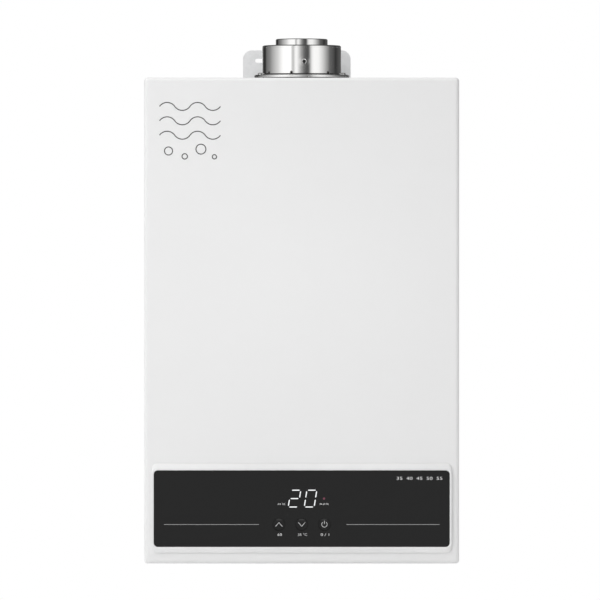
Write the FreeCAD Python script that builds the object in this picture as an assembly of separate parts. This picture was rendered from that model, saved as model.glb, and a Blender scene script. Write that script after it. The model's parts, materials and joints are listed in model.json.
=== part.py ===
"""Wall-hung gas water heater with a fan-assisted coaxial flue.

Millimetres. X to the right, the front faces -Y, +Z is up. The wall is the plane y = 0 and
the origin is the centre of the hanging keyhole in the wall tab. Each function makes one
sub-part, and the last function writes them all to parts/.
"""

import FreeCAD, Part
import math
import os

# Casing and its sheet metal
CASE_W = 350.0
CASE_H = 540.0
COVER_FRONT = 167.0
COVER_SHEET = 0.8
EDGE_R = 4.0
BACK_SHEET = 1.2
PLATE_SHEET = 1.2
BODY_GAP = 0.3
SEAL_T = 1.8
SEAL_W = 4.0
COVER_LIP = 12.0
FRONT_LIP = 20.0
PLATE_RECESS = 26.0
SIDE_FLANGE = 24.0
SIDE_CLEAR = 4.6
TOP_GAP = 4.6

# Wall tab above the casing
TAB_W = 121.5
TAB_SHIFT = -5.5
TAB_RISE = 34.8
TAB_R = 10.0
TAB_ROOT = 10.0
KEYHOLE_RISE = 23.2
KEYHOLE_R = 6.0
KEY_SLOT_W = 5.0
KEY_SLOT_RISE = 6.5
SLOT_L = 20.0
SLOT_W = 4.5
SLOT_PITCH = 74.2
FOOT_HOLE_R = 3.0
FOOT_HOLE_PITCH = 240.0
FOOT_HOLE_RISE = 12.0
BEAD_W = 16.0
BEAD_DEEP = 2.5
BEAD_PITCH = 180.0
BEAD_MARGIN = 45.0
TOP_PLATE_BACK = 8.0
TOP_PLATE_LIP = 14.0
SEAL_CORNER_R = 1.0

# Screws that hold the cover from below
COVER_SCREW_PITCH = 260.0
SCREW_R = 2.0
SCREW_HEAD_R = 3.75
SCREW_HEAD_H = 2.6
SCREW_CLEAR = 0.1
SCREW_PAST = 3.0
HEAD_ROUND = 0.45
DRIVE_L = 4.4
DRIVE_W = 1.0
DRIVE_DEEP = 1.0
POCKET_R = 6.0
POCKET_H = 3.2
TAB_SLOT_W = 5.0
TAB_MARGIN = 3.0
TAB_SHORT = 1.0
PLATE_FRONT_GAP = 5.0

# Display panel
GLASS_W = 328.6
GLASS_H = 84.8
GLASS_T = 2.0
GLASS_R = 4.5
GLASS_SET_IN = 0.1
PANEL_RISE = 61.1
BEZEL_W = 333.0
BEZEL_H = 99.7
BEZEL_RISE = 61.65
BEZEL_PROUD = 3.0
BEZEL_R = 6.0
BEZEL_RIM = 0.6
BEZEL_LAP = 4.0
BEZEL_BACK = 2.9
CLIPS_X = (-120.0, -40.0, 40.0, 120.0)
CLIP_W = 12.0
CLIP_ROOT = 2.0
CLIP_HOOK = 1.5
BUTTON_R = 6.6
BUTTON_PITCH = 25.3
BUTTON_RISE = 43.6
BUTTON_TRAVEL = 0.5
BUTTON_CROWN = 0.7
BUTTON_FLANGE_R = 8.2
BUTTON_STEM_R = 2.0
BUTTON_FLANGE_T = 1.0
DIGITS_RISE = 72.3
DIGITS_W = 36.0
DIGITS_H = 22.0
LAMP_X = 24.8
LAMP_R = 1.5
LAMP_RIM = 0.4
MODULE_R = 1.0
HOUSING_W = 144.0
HOUSING_H = 60.0
HOUSING_DEEP = 17.0
HOUSING_WALL = 1.6
HOUSING_R = 4.0
BOSS_INSET = 9.0
BOSS_R = 3.5
BOARD_T = 1.6
BOARD_BACK = 10.0
BOARD_PLAY = 1.0
BOARD_R = 1.5
SWITCH_SIZE = 6.0
SWITCH_H = 4.9
SWITCH_TIP_H = 1.4
SWITCH_TIP_R = 1.7

# Coaxial flue
FLUE_Y = -90.0
COLLAR_R = 44.0
COLLAR_T = 1.2
COLLAR_RISE = 37.7
COLLAR_BEAD = 2.6
COLLAR_LIP = 3.4
COLLAR_ROUND = 0.72
COLLAR_LIP_ROUND = 0.3
GROOVE_W = 0.3
GROOVE_DEEP = 0.15
PIPE_R = 29.0
PIPE_T = 1.0
PIPE_RISE = 45.0
PIPE_LIP = 2.6
PIPE_LIP_H = 2.0
PIPE_ROUND = 1.4
PIPE_LIP_ROUND = 0.6
FLANGE_R = 53.0
FLANGE_RISE = 4.8
FLANGE_SHEET = 1.0
NECK_RISE = 8.0
NOTCH_R = 51.0
GASKET_W = 3.4
FLUE_SCREW_X = 45.3
FLUE_SCREW_Y = 18.6
FLUE_HEAD_H = 2.8
TEST_HOLE_R = 2.25
TEST_HOLE_RISE = 19.0
TEST_HOLE_TURN = 3.65
TEST_MOUTH = 2.2
TEST_MOUTH_IN = 0.2
DIMPLE_R = 1.5
DIMPLE_OUT = 0.6
DIMPLE_RISE = 6.9
DIMPLE_TURNS = (-56.0, -15.0, 42.0, 104.0, 160.0, 218.0)

# Fan
FAN_TOP_DROP = 45.5
FAN_R = 58.0
FAN_DEEP = 58.0
FAN_DUCT = 60.0
FAN_SHEET = 1.0
DUCT_W = 56.0
SPIGOT_GAP = 0.3
SPIGOT_H = 18.0
FAN_CAP = 3.0
SHAFT_HOLE_PLAY = 4.0
FAN_EYE_R = 30.0
IMPELLER_R = 50.0
IMPELLER_IN_R = 38.0
IMPELLER_GAP = 6.0
BLADES = 20
BLADE_T = 0.9
BLADE_LEAN = 0.16
BLADE_BOW = 0.35
BLADE_SHORT = 0.5
DISC_T = 1.2
HOOP_W = 6.0
HUB_L = 18.0
HUB_WALL = 5.0
SHAFT_R = 3.0
RUN_FIT = 0.05
MOTOR_R = 26.0
MOTOR_L = 31.0
MOTOR_LEG = 9.0
MOTOR_LEG_R = 3.5
MOTOR_LEG_IN = 5.0
MOTOR_CAP_H = 3.0
MOTOR_CAP_R = 13.0
MOTOR_BELT = 10.0
MOTOR_BELT_OUT = 1.5
MOTOR_BELT_AT = 11.0
MOTOR_PLUG_W = 8.0
MOTOR_PLUG_L = 12.0
MOTOR_PLUG_OUT = 8.0
SHAFT_SHORT = 4.0
SHAFT_END_PLAY = 0.5
TAP_R = 2.5
TAP_L = 9.0

# Heat exchanger, hood and burner
BRACKET_DEEP = 29.8
BRACKET_W = 30.0
BRACKET_H = 16.0
BRACKET_SHEET = 1.5
BRACKET_PITCH = 120.0
BRACKET_DROP = 24.0
BRACKET_RISE = 8.0
EX_W = 200.0
EX_D = 110.0
EX_SHEET = 1.0
EX_CORNER_R = 8.0
EX_FLANGE = 6.0
HOOD_GAP = 3.5
HOOD_H = 23.5
HOOD_TAPER_X = 12.0
HOOD_TAPER_FRONT = 10.0
HOOD_TAPER_REAR = 2.0
RISER_W = 84.0
RISER_PAST_EYE = 8.0
TUBE_R = 7.0
TUBE_PITCH = 20.0
TUBES = 5
TUBE_DROP = 36.0
TUBE_OUT = 16.0
BEND_OUT = 6.0
TUBE_WALL = 1.2
FIN_PITCH = 6.4
FIN_COUNT = 30
FIN_T = 0.5
FIN_H = 48.0
FIN_EDGE = 2.5
BURNER_H = 61.0
BURNER_RISE = 102.5
BURNER_SHEET = 1.0
BARS = 9
BAR_PITCH = 20.0
BAR_W = 8.0
BAR_TUBE_R = 5.5
BAR_THROAT_R = 4.5
BAR_TOP_DROP = 11.0
BAR_END = 5.0
BAR_WALL = 1.0
BAR_THROAT_L = 30.0
BAR_FOOT_T = 3.0
BAR_FOOT_IN = 10.0
FLAME_SLOTS = 12
FLAME_SLOT_T = 1.4
FLAME_SLOT_DEEP = 5.0
WINDOW_BELOW = 2.0
WINDOW_ABOVE = 6.0
AIR_HOLE_R = 4.0
MANIFOLD_RISE = 12.0
MANIFOLD_SIDE = 10.0
MANIFOLD_GAP = 7.0
MANIFOLD_EAR = 6.0
MANIFOLD_SHORT = 2.0
MANIFOLD_R = 1.0
MANIFOLD_BOSS_H = 3.0
MANIFOLD_BOSS_WALL = 2.0
NOZZLE_R = 3.2
NOZZLE_TIP = 2.0
NOZZLE_COLLAR = 3.0
NOZZLE_STEP = 0.4
NOZZLE_SHORT = 2.0
ELECTRODES_X = (-30.0, -10.0, 30.0)
ELECTRODE_DROP = 5.0
CERAMIC_R = 2.9
CERAMIC_OUT = 5.0
CERAMIC_IN = 15.0
ROD_R = 0.9
ROD_OUT = 7.0
ROD_IN = 30.0
ROD_HOOK = 4.0
ROD_BEND = 3.0

# Water pipes
WATER_R = 6.0
WATER_WALL = 0.7
WATER_BEND = 12.0
COIL_GAP = 1.0
COIL_LOW = 30.0
COIL_TOP = 14.0
SIDE_RUN = 27.0
CONNECT_Y = -70.0
CONNECT_PITCH = 80.0
THREAD_R = 10.48
THREAD_L = 17.0
THREAD_CHAMFER = 0.8
SHANK_R = 10.2
STUB_BORE_R = 7.5
STUB_NECK_R = 12.0
STUB_COLLAR_R = 15.0
STUB_COLLAR_H = 6.0
NUT_FLATS = 30.0
NUT_H = 6.0
HOT_STUB_H = 32.0
COLD_STUB_H = 25.0
HOT_SEAT = 3.0
BRANCH_R = 4.5
BRANCH_DROP = 6.0
SENSOR_R = 14.0
SENSOR_BORE_R = 8.0
SENSOR_H = 42.0
SENSOR_GRIP_H = 10.0
SENSOR_GRIP = 1.5
SENSOR_SEAT = 6.0
PICKUP_W = 14.0
PICKUP_OUT = 8.0
PICKUP_RISE = 8.0
PICKUP_H = 20.0
SPIDER_RISE = 6.0
SPIDER_T = 3.0
SPIDER_ARM = 1.6
SPIDER_ROOT = 1.0
TURBINE_R = 7.3
TURBINE_H = 12.0
TURBINE_PIN_R = 1.0
TURBINE_HUB_R = 3.0
TURBINE_VANES = 6
VANE_T = 1.0
PIN_PAST = 1.0
FILTER_T = 1.6
FILTER_FIT = 0.1
FILTER_RISE = 8.0
FILTER_HOLE_R = 0.8
FILTER_RING_STEP = 2.6
FILTER_RINGS = 2
RING_HOLES = 6
DRAIN_OUT = 36.0
DRAIN_R = 8.0
DRAIN_TOP = 20.0
DRAIN_BELOW = 9.0
DRAIN_STEM_R = 3.0
DRAIN_BORE_L = 22.0
DRAIN_STEM_L = 18.0
DRAIN_COLLAR = 3.0
DRAIN_COLLAR_H = 4.0
KNOB_H = 11.0
KNOB_R = 8.5
WING_OUT = 4.0
WING_T = 5.0
WING_R = 2.0
WING_DROP = 1.0

# Gas valve
VALVE_W = 60.0
VALVE_D = 52.0
VALVE_H = 44.0
VALVE_LIFT = 8.0
VALVE_FRONT = -106.0
VALVE_R = 4.0
VALVE_BOSS = 5.0
VALVE_LID_T = 4.0
VALVE_LID_IN = 5.0
VALVE_BOSS_H = 5.0
COIL_PITCH = 30.0
COIL_R = 13.0
COIL_L = 32.0
COIL_END = 2.0
COIL_FOOT = 1.5
COIL_FOOT_IN = 3.0
PLUNGER_R = 4.5
PLUNGER_SEAT_R = 5.6
PLUNGER_L = 40.0
PLUNGER_SEAT_T = 4.0
PLUNGER_PLAY = 1.0
SEAT_DEEP = 20.0
SPRING_WIRE = 0.7
GAS_R = 5.0
GAS_WALL = 0.8
GAS_BEND = 12.0
GAS_RISER_Y = -84.0
GAS_UNDER = 26.0
COLD_UNDER = 10.0
HOT_UNDER = 20.0

# Boxes and sensors on the back plate
BOX_R = 3.0
BOX_GAP = 1.0
BOX_LID_IN = 3.0
BOX_LID_T = 2.0
CONTROL_W = 50.0
CONTROL_D = 40.0
CONTROL_H = 170.0
CONTROL_DROP = 280.0
IGNITER_W = 50.0
IGNITER_D = 34.0
IGNITER_H = 60.0
IGNITER_DROP = 250.0
SWITCH_R = 25.0
SWITCH_D = 18.0
SWITCH_POST = 18.0
SWITCH_POST_R = 9.0
SWITCH_RIM = 2.0
SWITCH_RIM_AT = 7.0
SWITCH_RIM_W = 4.0
SWITCH_IN = 36.6
SWITCH_DROP = 50.0
NIPPLE_L = 8.0
HOSE_R = 4.0
HOSE_BORE_R = 2.2
CLIP_T = 2.6
CLIP_H = 9.0
NUB_R = 3.0
NUB_ROOT = 1.0
NUB_OUT = 8.0
HOT_CLIP_DROP = 90.0
GLAND_X = -140.0
GLAND_Y = -60.0
GLAND_R = 11.0
GLAND_NECK_R = 8.5
GLAND_BORE_R = 4.0
GLAND_BELOW = 6.0
GLAND_ABOVE = 3.0
GLAND_CONE = 3.0
LEAD_R = 1.6
LEAD_BEND = 8.0
LEAD_STEP = 4.0
FAN_LEAD_R = 2.4
FAN_LEAD_BEND = 20.0

# Places that follow from the sizes above
Z_TOP = -KEYHOLE_RISE
Z_BOTTOM = Z_TOP - CASE_H
Z_TAB = Z_TOP + TAB_RISE
BEZEL_FRONT = COVER_FRONT + BEZEL_PROUD
COVER_REAR = BACK_SHEET + SEAL_T + BODY_GAP
TOP_PLATE_Z = Z_TOP - COVER_SHEET - TOP_GAP
FLANGE_X = CASE_W / 2 - COVER_SHEET - SIDE_CLEAR
PLATE_Z = Z_BOTTOM + PLATE_RECESS
PLATE_TOP = PLATE_Z + PLATE_SHEET
COVER_SCREW_Y = -(COVER_FRONT - FRONT_LIP / 2)
PLATE_FRONT = COVER_SCREW_Y + POCKET_R + PLATE_FRONT_GAP
FLANGE_TOP = Z_TOP + FLANGE_RISE
FAN_X = DUCT_W / 2 - FAN_R
FAN_TOP = Z_TOP - FAN_TOP_DROP
FAN_Z = FAN_TOP - FAN_DUCT
FAN_REAR = FLUE_Y + FAN_DEEP / 2
FAN_FRONT = FLUE_Y - FAN_DEEP / 2
EX_REAR = -(BACK_SHEET + BRACKET_DEEP)
EX_FRONT = EX_REAR - EX_D
HOOD_TOP = FAN_Z - FAN_R - HOOD_GAP
EX_TOP = HOOD_TOP - HOOD_H
BURNER_BOTTOM = PLATE_Z + BURNER_RISE
EX_BOTTOM = BURNER_BOTTOM + BURNER_H
TUBE_Z = EX_TOP - TUBE_DROP
TUBE_REAR = (EX_REAR + EX_FRONT) / 2 + TUBE_PITCH * (TUBES - 1) / 2
TUBE_FRONT = TUBE_REAR - TUBE_PITCH * (TUBES - 1)
MANIFOLD_Z = BURNER_BOTTOM + MANIFOLD_RISE
MANIFOLD_Y = EX_FRONT - MANIFOLD_GAP - MANIFOLD_SIDE / 2
ELECTRODE_Z = EX_BOTTOM - ELECTRODE_DROP
GLASS_FRONT = -(BEZEL_FRONT - GLASS_SET_IN)
GLASS_REAR = GLASS_FRONT + GLASS_T
PANEL_Z = Z_BOTTOM + PANEL_RISE
BEZEL_Z = Z_BOTTOM + BEZEL_RISE
BUTTON_Z = Z_BOTTOM + BUTTON_RISE
DIGITS_Z = Z_BOTTOM + DIGITS_RISE
BEZEL_REAR = GLASS_REAR + BEZEL_BACK
BOARD_FRONT = BEZEL_REAR + HOUSING_DEEP - BOARD_BACK
HOUSING_REAR = BEZEL_REAR + HOUSING_DEEP
VALVE_BOTTOM = PLATE_TOP + VALVE_LIFT
VALVE_TOP = VALVE_BOTTOM + VALVE_H
COIL_Z = (VALVE_BOTTOM + VALVE_TOP) / 2
COLD_X = CONNECT_PITCH
HOT_X = -CONNECT_PITCH
SENSOR_BOTTOM = PLATE_TOP + COLD_STUB_H
SENSOR_TOP = SENSOR_BOTTOM + SENSOR_H
DRAIN_X = COLD_X + DRAIN_OUT
NUT_BOTTOM = PLATE_Z - NUT_H
STUB_BOTTOM = NUT_BOTTOM - THREAD_L
CONTROL_X = FLANGE_X - PLATE_SHEET - CONTROL_W - BOX_GAP
IGNITER_X = -(FLANGE_X - PLATE_SHEET - BOX_GAP)
IGNITER_BOTTOM = Z_TOP - IGNITER_DROP - IGNITER_H
CONTROL_TOP = Z_TOP - CONTROL_DROP
SWITCH_X = -(FLANGE_X - SWITCH_IN)
SWITCH_Z = Z_TOP - SWITCH_DROP

UP = FreeCAD.Vector(0, 0, 1)
ALONG_X = FreeCAD.Vector(1, 0, 0)
ALONG_Y = FreeCAD.Vector(0, 1, 0)


def at(x, y, z):
    return FreeCAD.Vector(x, y, z)


# Helpers for shapes

def box(x0, x1, y0, y1, z0, z1):
    return Part.makeBox(x1 - x0, y1 - y0, z1 - z0, at(x0, y0, z0))


def rod(start, end, radius):
    axis = end - start
    return Part.makeCylinder(radius, axis.Length, start, axis)


def tube(start, end, radius, bore):
    return rod(start, end, radius).cut(rod(start, end, bore))


def ring(x, y, z0, z1, radius, bore):
    return tube(at(x, y, z0), at(x, y, z1), radius, bore)


def joined(shapes):
    return shapes[0].multiFuse(shapes[1:]).removeSplitter()


def without(shape, tools):
    return shape.cut(Part.makeCompound(tools))


def edges_along(shape, axis):
    found = []
    for edge in shape.Edges:
        if not isinstance(edge.Curve, Part.Line):
            continue
        if edge.tangentAt(edge.FirstParameter).cross(axis).Length < 1e-6:
            found.append(edge)
    return found


def rounded(shape, axis, radius):
    """The shape with its straight edges along one axis rounded."""
    return shape.makeFillet(radius, edges_along(shape, axis))


def rims(shape, radius, z):
    """The level round edges of one radius at one height."""
    found = []
    for edge in shape.Edges:
        curve = edge.Curve
        if not isinstance(curve, Part.Circle) or abs(abs(curve.Axis.z) - 1) > 1e-6:
            continue
        if abs(curve.Radius - radius) < 1e-4 and abs(curve.Center.z - z) < 1e-4:
            found.append(edge)
    return found


def rounded_plate(width, height, radius, y0, y1, x, z):
    """A plate across X and Z, with round corners, from y0 to y1."""
    plate = box(x - width / 2, x + width / 2, y0, y1, z - height / 2, z + height / 2)
    return rounded(plate, ALONG_Y, radius)


def rounded_outline(width, height, radius, y, x, z):
    """The wire of such a plate's face at y."""
    plate = rounded_plate(width, height, radius, y, y + 1.0, x, z)
    for face in plate.Faces:
        if face.BoundBox.YMax < y + 1e-6:
            return face.OuterWire


def rectangle_wire(x0, x1, y0, y1, z):
    corners = [at(x0, y0, z), at(x1, y0, z), at(x1, y1, z), at(x0, y1, z), at(x0, y0, z)]
    return Part.makePolygon(corners)


def turned(outline, x, y):
    """A solid turned about the upright axis through x, y from (radius, z) points."""
    points = [at(r, 0, z) for r, z in outline]
    face = Part.Face(Part.makePolygon(points + [points[0]]))
    solid = face.revolve(at(0, 0, 0), UP, 360)
    solid.translate(at(x, y, 0))
    return solid


def hexagon(x, y, z0, z1, flats):
    corner = flats / math.sqrt(3)
    points = []
    for k in range(7):
        turn = math.radians(60 * k)
        points.append(at(x + corner * math.cos(turn), y + corner * math.sin(turn), z0))
    return Part.Face(Part.makePolygon(points)).extrude(at(0, 0, z1 - z0))


def route(points, bend):
    """Straight runs joined by tangent arcs, no larger than the bend or the runs allow."""
    edges = []
    last = points[0]
    for before, corner, after in zip(points, points[1:], points[2:]):
        back = (before - corner).normalize()
        ahead = (after - corner).normalize()
        half_turn = (math.pi - back.getAngle(ahead)) / 2
        room = min((before - corner).Length, (after - corner).Length)
        radius = min(bend, 0.45 * room / math.tan(half_turn))
        first = corner + back * (radius * math.tan(half_turn))
        second = corner + ahead * (radius * math.tan(half_turn))
        inward = (back + ahead).normalize()
        middle = corner + inward * (radius / math.cos(half_turn) - radius)
        edges.append(Part.LineSegment(last, first).toShape())
        edges.append(Part.Arc(first, middle, second).toShape())
        last = second
    edges.append(Part.LineSegment(last, points[-1]).toShape())
    return Part.Wire(edges)


def swept(wire, radius):
    first = wire.OrderedEdges[0]
    start = first.valueAt(first.FirstParameter)
    circle = Part.makeCircle(radius, start, first.tangentAt(first.FirstParameter))
    return wire.makePipeShell([Part.Wire([circle])], True, False)


def bent_pipe(points, bend, radius, wall):
    wire = route(points, bend)
    return swept(wire, radius).cut(swept(wire, radius - wall))


def bent_lead(points, bend, radius):
    return swept(route(points, bend), radius)


# Casing

def case_block(inset):
    half = CASE_W / 2 - inset
    front = -(COVER_FRONT - inset)
    block = box(-half, half, front, -COVER_REAR, Z_BOTTOM + inset, Z_TOP - inset)
    ahead = [edge for edge in block.Edges if edge.BoundBox.YMin < -COVER_REAR - 1.0]
    return block.makeFillet(EDGE_R - inset, ahead)


def cover_screw_places():
    return [at(side * COVER_SCREW_PITCH / 2, COVER_SCREW_Y, 0) for side in (-1, 1)]


def front_cover():
    """The painted shell: open at the back and below, notched for the flue."""
    shell = case_block(0.0).cut(case_block(COVER_SHEET))
    half = CASE_W / 2
    open_below = box(COVER_LIP - half, half - COVER_LIP, FRONT_LIP - COVER_FRONT, 0,
                     Z_BOTTOM - 1, Z_BOTTOM + COVER_SHEET + 0.1)
    notch_low = Z_TOP - COVER_SHEET - 0.2
    notch = joined([
        rod(at(0, FLUE_Y, notch_low), at(0, FLUE_Y, Z_TOP + 1), NOTCH_R),
        box(-NOTCH_R, NOTCH_R, FLUE_Y, 0, notch_low, Z_TOP + 1),
    ])
    window = rounded_plate(BEZEL_W - 2 * BEZEL_LAP, BEZEL_H - 2 * BEZEL_LAP, EDGE_R,
                           -(COVER_FRONT + 1), -(COVER_FRONT - COVER_SHEET - 0.2), 0, BEZEL_Z)
    shell = without(shell, [open_below, notch, window])
    roof = Z_BOTTOM + POCKET_H
    for place in cover_screw_places():
        x = place.x
        y = place.y
        dome = rod(at(x, y, Z_BOTTOM), at(x, y, roof + COVER_SHEET), POCKET_R + COVER_SHEET)
        pocket = rod(at(x, y, Z_BOTTOM - 1), at(x, y, roof), POCKET_R)
        hole = rod(at(x, y, roof - 1), at(x, y, roof + 3), SCREW_R + SCREW_CLEAR)
        shell = without(shell.fuse(dome), [pocket, hole])
    return shell


def pan_screw(x, y, seat, length, head_h, upward):
    """An upright screw: its head lies against the seat, its shank goes the other way."""
    away = 1 if upward else -1
    head = rod(at(x, y, seat), at(x, y, seat - away * head_h), SCREW_HEAD_R)
    head = head.makeFillet(head_h * HEAD_ROUND, rims(head, SCREW_HEAD_R, seat - away * head_h))
    shank = rod(at(x, y, seat), at(x, y, seat + away * length), SCREW_R)
    drive_z = seat - away * head_h
    low, high = sorted((drive_z, drive_z + away * DRIVE_DEEP))
    drive = []
    for turn in (45, 135):
        bar = box(x - DRIVE_L / 2, x + DRIVE_L / 2, y - DRIVE_W / 2, y + DRIVE_W / 2, low, high)
        bar.rotate(at(x, y, 0), UP, turn)
        drive.append(bar)
    return without(head.fuse(shank), drive)


def cover_screws():
    seat = Z_BOTTOM + POCKET_H
    length = COVER_SHEET + BODY_GAP + PLATE_SHEET + SCREW_PAST
    places = cover_screw_places()
    return Part.makeCompound(
        [pan_screw(place.x, place.y, seat, length, SCREW_HEAD_H, True) for place in places])


def wall_slots(z, depth):
    """Two level slots, one each side of the middle of the wall tab."""
    slots = []
    for side in (-1, 1):
        x = TAB_SHIFT + side * SLOT_PITCH / 2
        slots.append(rounded_plate(SLOT_L, SLOT_W, SLOT_W / 2 - 0.001, -depth, depth, x, z))
    return slots


def keyhole(depth):
    entry = rod(at(0, -depth, 0), at(0, depth, 0), KEYHOLE_R)
    neck = box(-KEY_SLOT_W / 2, KEY_SLOT_W / 2, -depth, depth, 0, KEY_SLOT_RISE)
    end = rod(at(0, -depth, KEY_SLOT_RISE), at(0, depth, KEY_SLOT_RISE), KEY_SLOT_W / 2)
    return joined([entry, neck, end])


def back_plate():
    """The pressed steel back with its wall tab and two beads, and the side strips welded on it."""
    inset = COVER_SHEET / 2
    middle = (Z_TOP + Z_BOTTOM) / 2
    sheet = rounded_plate(CASE_W - 2 * inset, CASE_H - 2 * inset, EDGE_R, -BACK_SHEET, 0, 0, middle)
    tab = box(TAB_SHIFT - TAB_W / 2, TAB_SHIFT + TAB_W / 2, -BACK_SHEET, 0, Z_TOP - TAB_ROOT, Z_TAB)
    top_edges = [edge for edge in edges_along(tab, ALONG_Y) if edge.BoundBox.ZMax > Z_TAB - 1]
    tab = tab.makeFillet(TAB_R, top_edges)
    pieces = [sheet, tab]
    strips = []
    for side in (-1, 1):
        outer = side * FLANGE_X
        inner = side * (FLANGE_X - PLATE_SHEET)
        strips.append(box(min(outer, inner), max(outer, inner), -SIDE_FLANGE, -BACK_SHEET,
                          PLATE_Z, TOP_PLATE_Z))
    bead_h = CASE_H - 2 * PLATE_RECESS - 2 * BEAD_MARGIN
    for side in (-1, 1):
        x = side * BEAD_PITCH / 2
        pieces.append(rounded_plate(BEAD_W, bead_h, BEAD_W / 2 - 0.001,
                                    -BACK_SHEET - BEAD_DEEP, -BACK_SHEET / 2, x, middle))
    plate = joined(pieces)
    cuts = wall_slots(0, BACK_SHEET + 1) + [keyhole(BACK_SHEET + 1)]
    for side in (-1, 1):
        x = side * BEAD_PITCH / 2
        groove = BEAD_W - 2 * BACK_SHEET
        cuts.append(rounded_plate(groove, bead_h - 2 * BACK_SHEET, groove / 2 - 0.001,
                                  -BEAD_DEEP, 1, x, middle))
        foot = at(side * FOOT_HOLE_PITCH / 2, 0, Z_BOTTOM + FOOT_HOLE_RISE)
        cuts.append(rod(foot - ALONG_Y * (BACK_SHEET + 1), foot + ALONG_Y, FOOT_HOLE_R))
    return Part.makeCompound([without(plate, cuts)] + strips)


def flue_screw_places():
    places = []
    for x in (-FLUE_SCREW_X, FLUE_SCREW_X):
        for y in (FLUE_Y - FLUE_SCREW_Y, FLUE_Y + FLUE_SCREW_Y):
            places.append(at(x, y, 0))
    return places


def top_plate():
    """The chassis top under the cover, with the air hole and a turned-down front edge."""
    half = FLANGE_X - PLATE_SHEET
    front = -(COVER_FRONT - COVER_SHEET - TOP_PLATE_BACK)
    sheet = box(-half, half, front, -BACK_SHEET, TOP_PLATE_Z - PLATE_SHEET, TOP_PLATE_Z)
    lip = box(-half, half, front, front + PLATE_SHEET, TOP_PLATE_Z - TOP_PLATE_LIP, TOP_PLATE_Z)
    plate = joined([sheet, lip])
    low = TOP_PLATE_Z - PLATE_SHEET - 1
    cuts = [rod(at(0, FLUE_Y, low), at(0, FLUE_Y, TOP_PLATE_Z + 1), COLLAR_R - COLLAR_T)]
    for place in flue_screw_places():
        cuts.append(rod(at(place.x, place.y, low), at(place.x, place.y, TOP_PLATE_Z + 1),
                        SCREW_R + SCREW_CLEAR))
    return without(plate, cuts)


def bottom_plate():
    """The recessed floor that carries the connections, and two slotted angles for the cover."""
    half = FLANGE_X - PLATE_SHEET
    plate = box(-half, half, PLATE_FRONT, -BACK_SHEET, PLATE_Z, PLATE_TOP)
    tab_z = Z_BOTTOM + POCKET_H + COVER_SHEET + BODY_GAP
    tab_half = POCKET_R + TAB_MARGIN
    angles = []
    for place in cover_screw_places():
        x = place.x
        upright = box(x - tab_half, x + tab_half, PLATE_FRONT, PLATE_FRONT + PLATE_SHEET, tab_z, PLATE_Z)
        tab_front = place.y - POCKET_R + TAB_SHORT
        tab = box(x - tab_half, x + tab_half, tab_front, PLATE_FRONT + PLATE_SHEET,
                  tab_z, tab_z + PLATE_SHEET)
        half_slot = TAB_SLOT_W / 2
        slot = box(x - half_slot, x + half_slot, tab_front - 1, place.y, tab_z - 1, tab_z + PLATE_SHEET + 1)
        slot_end = rod(at(x, place.y, tab_z - 1), at(x, place.y, tab_z + PLATE_SHEET + 1), half_slot)
        angles.append(without(joined([upright, tab]), [slot, slot_end]))
    cuts = []
    for x, radius in ((HOT_X, SHANK_R), (0, SHANK_R), (COLD_X, SHANK_R), (DRAIN_X, DRAIN_R)):
        cuts.append(rod(at(x, CONNECT_Y, PLATE_Z - 1), at(x, CONNECT_Y, PLATE_TOP + 1), radius + BODY_GAP))
    cuts.append(rod(at(GLAND_X, GLAND_Y, PLATE_Z - 1), at(GLAND_X, GLAND_Y, PLATE_TOP + 1), GLAND_NECK_R))
    return Part.makeCompound([without(plate, cuts)] + angles)


def cover_seal():
    """The soft strip that the cover's rear edge closes on."""
    middle = (Z_TOP + Z_BOTTOM) / 2
    edge = COVER_SHEET
    front = -(BACK_SHEET + SEAL_T)
    outer = rounded_plate(CASE_W - 2 * edge, CASE_H - 2 * edge, EDGE_R, front, -BACK_SHEET, 0, middle)
    inner = rounded_plate(CASE_W - 2 * edge - 2 * SEAL_W, CASE_H - 2 * edge - 2 * SEAL_W, SEAL_CORNER_R,
                          front - 1, 0, 0, middle)
    return outer.cut(inner)


# Display panel

def panel_bezel():
    """The white surround: bevelled outside, a flat pocket for the glass, clips behind."""
    rim_w = GLASS_W + 2 * BEZEL_RIM
    rim_h = GLASS_H + 2 * BEZEL_RIM
    wide = rounded_outline(BEZEL_W, BEZEL_H, BEZEL_R, -COVER_FRONT, 0, BEZEL_Z)
    narrow = rounded_outline(rim_w, rim_h, GLASS_R + BEZEL_RIM, -BEZEL_FRONT, 0, PANEL_Z)
    slope = Part.makeLoft([wide, narrow], True, True)
    fit = COVER_SHEET / 4
    plug = rounded_plate(BEZEL_W - 2 * BEZEL_LAP - 2 * fit, BEZEL_H - 2 * BEZEL_LAP - 2 * fit,
                         EDGE_R, -COVER_FRONT, BEZEL_REAR, 0, BEZEL_Z)
    pieces = [slope, plug]
    behind = -COVER_FRONT + COVER_SHEET + fit
    edge_z = BEZEL_H / 2 - BEZEL_LAP
    for x in CLIPS_X:
        for side in (-1, 1):
            low, high = sorted((BEZEL_Z + side * (edge_z - CLIP_ROOT), BEZEL_Z + side * (edge_z + CLIP_HOOK)))
            pieces.append(box(x - CLIP_W / 2, x + CLIP_W / 2, behind, BEZEL_REAR, low, high))
    body = joined(pieces)
    play = BEZEL_RIM / 4
    pocket = rounded_plate(GLASS_W + 2 * play, GLASS_H + 2 * play, GLASS_R + play,
                           -BEZEL_FRONT - 1, GLASS_REAR, 0, PANEL_Z)
    inside = HOUSING_WALL + BOARD_PLAY
    opening = rounded_plate(HOUSING_W - 2 * inside, HOUSING_H - 2 * inside, HOUSING_R / 2,
                            GLASS_REAR - 1, BEZEL_REAR + 1, 0, housing_z())
    return without(body, [pocket, opening])


def housing_z():
    return (BUTTON_Z + DIGITS_Z) / 2


def button_places():
    return {"button_up": -BUTTON_PITCH, "button_down": 0.0, "button_power": BUTTON_PITCH}


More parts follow.
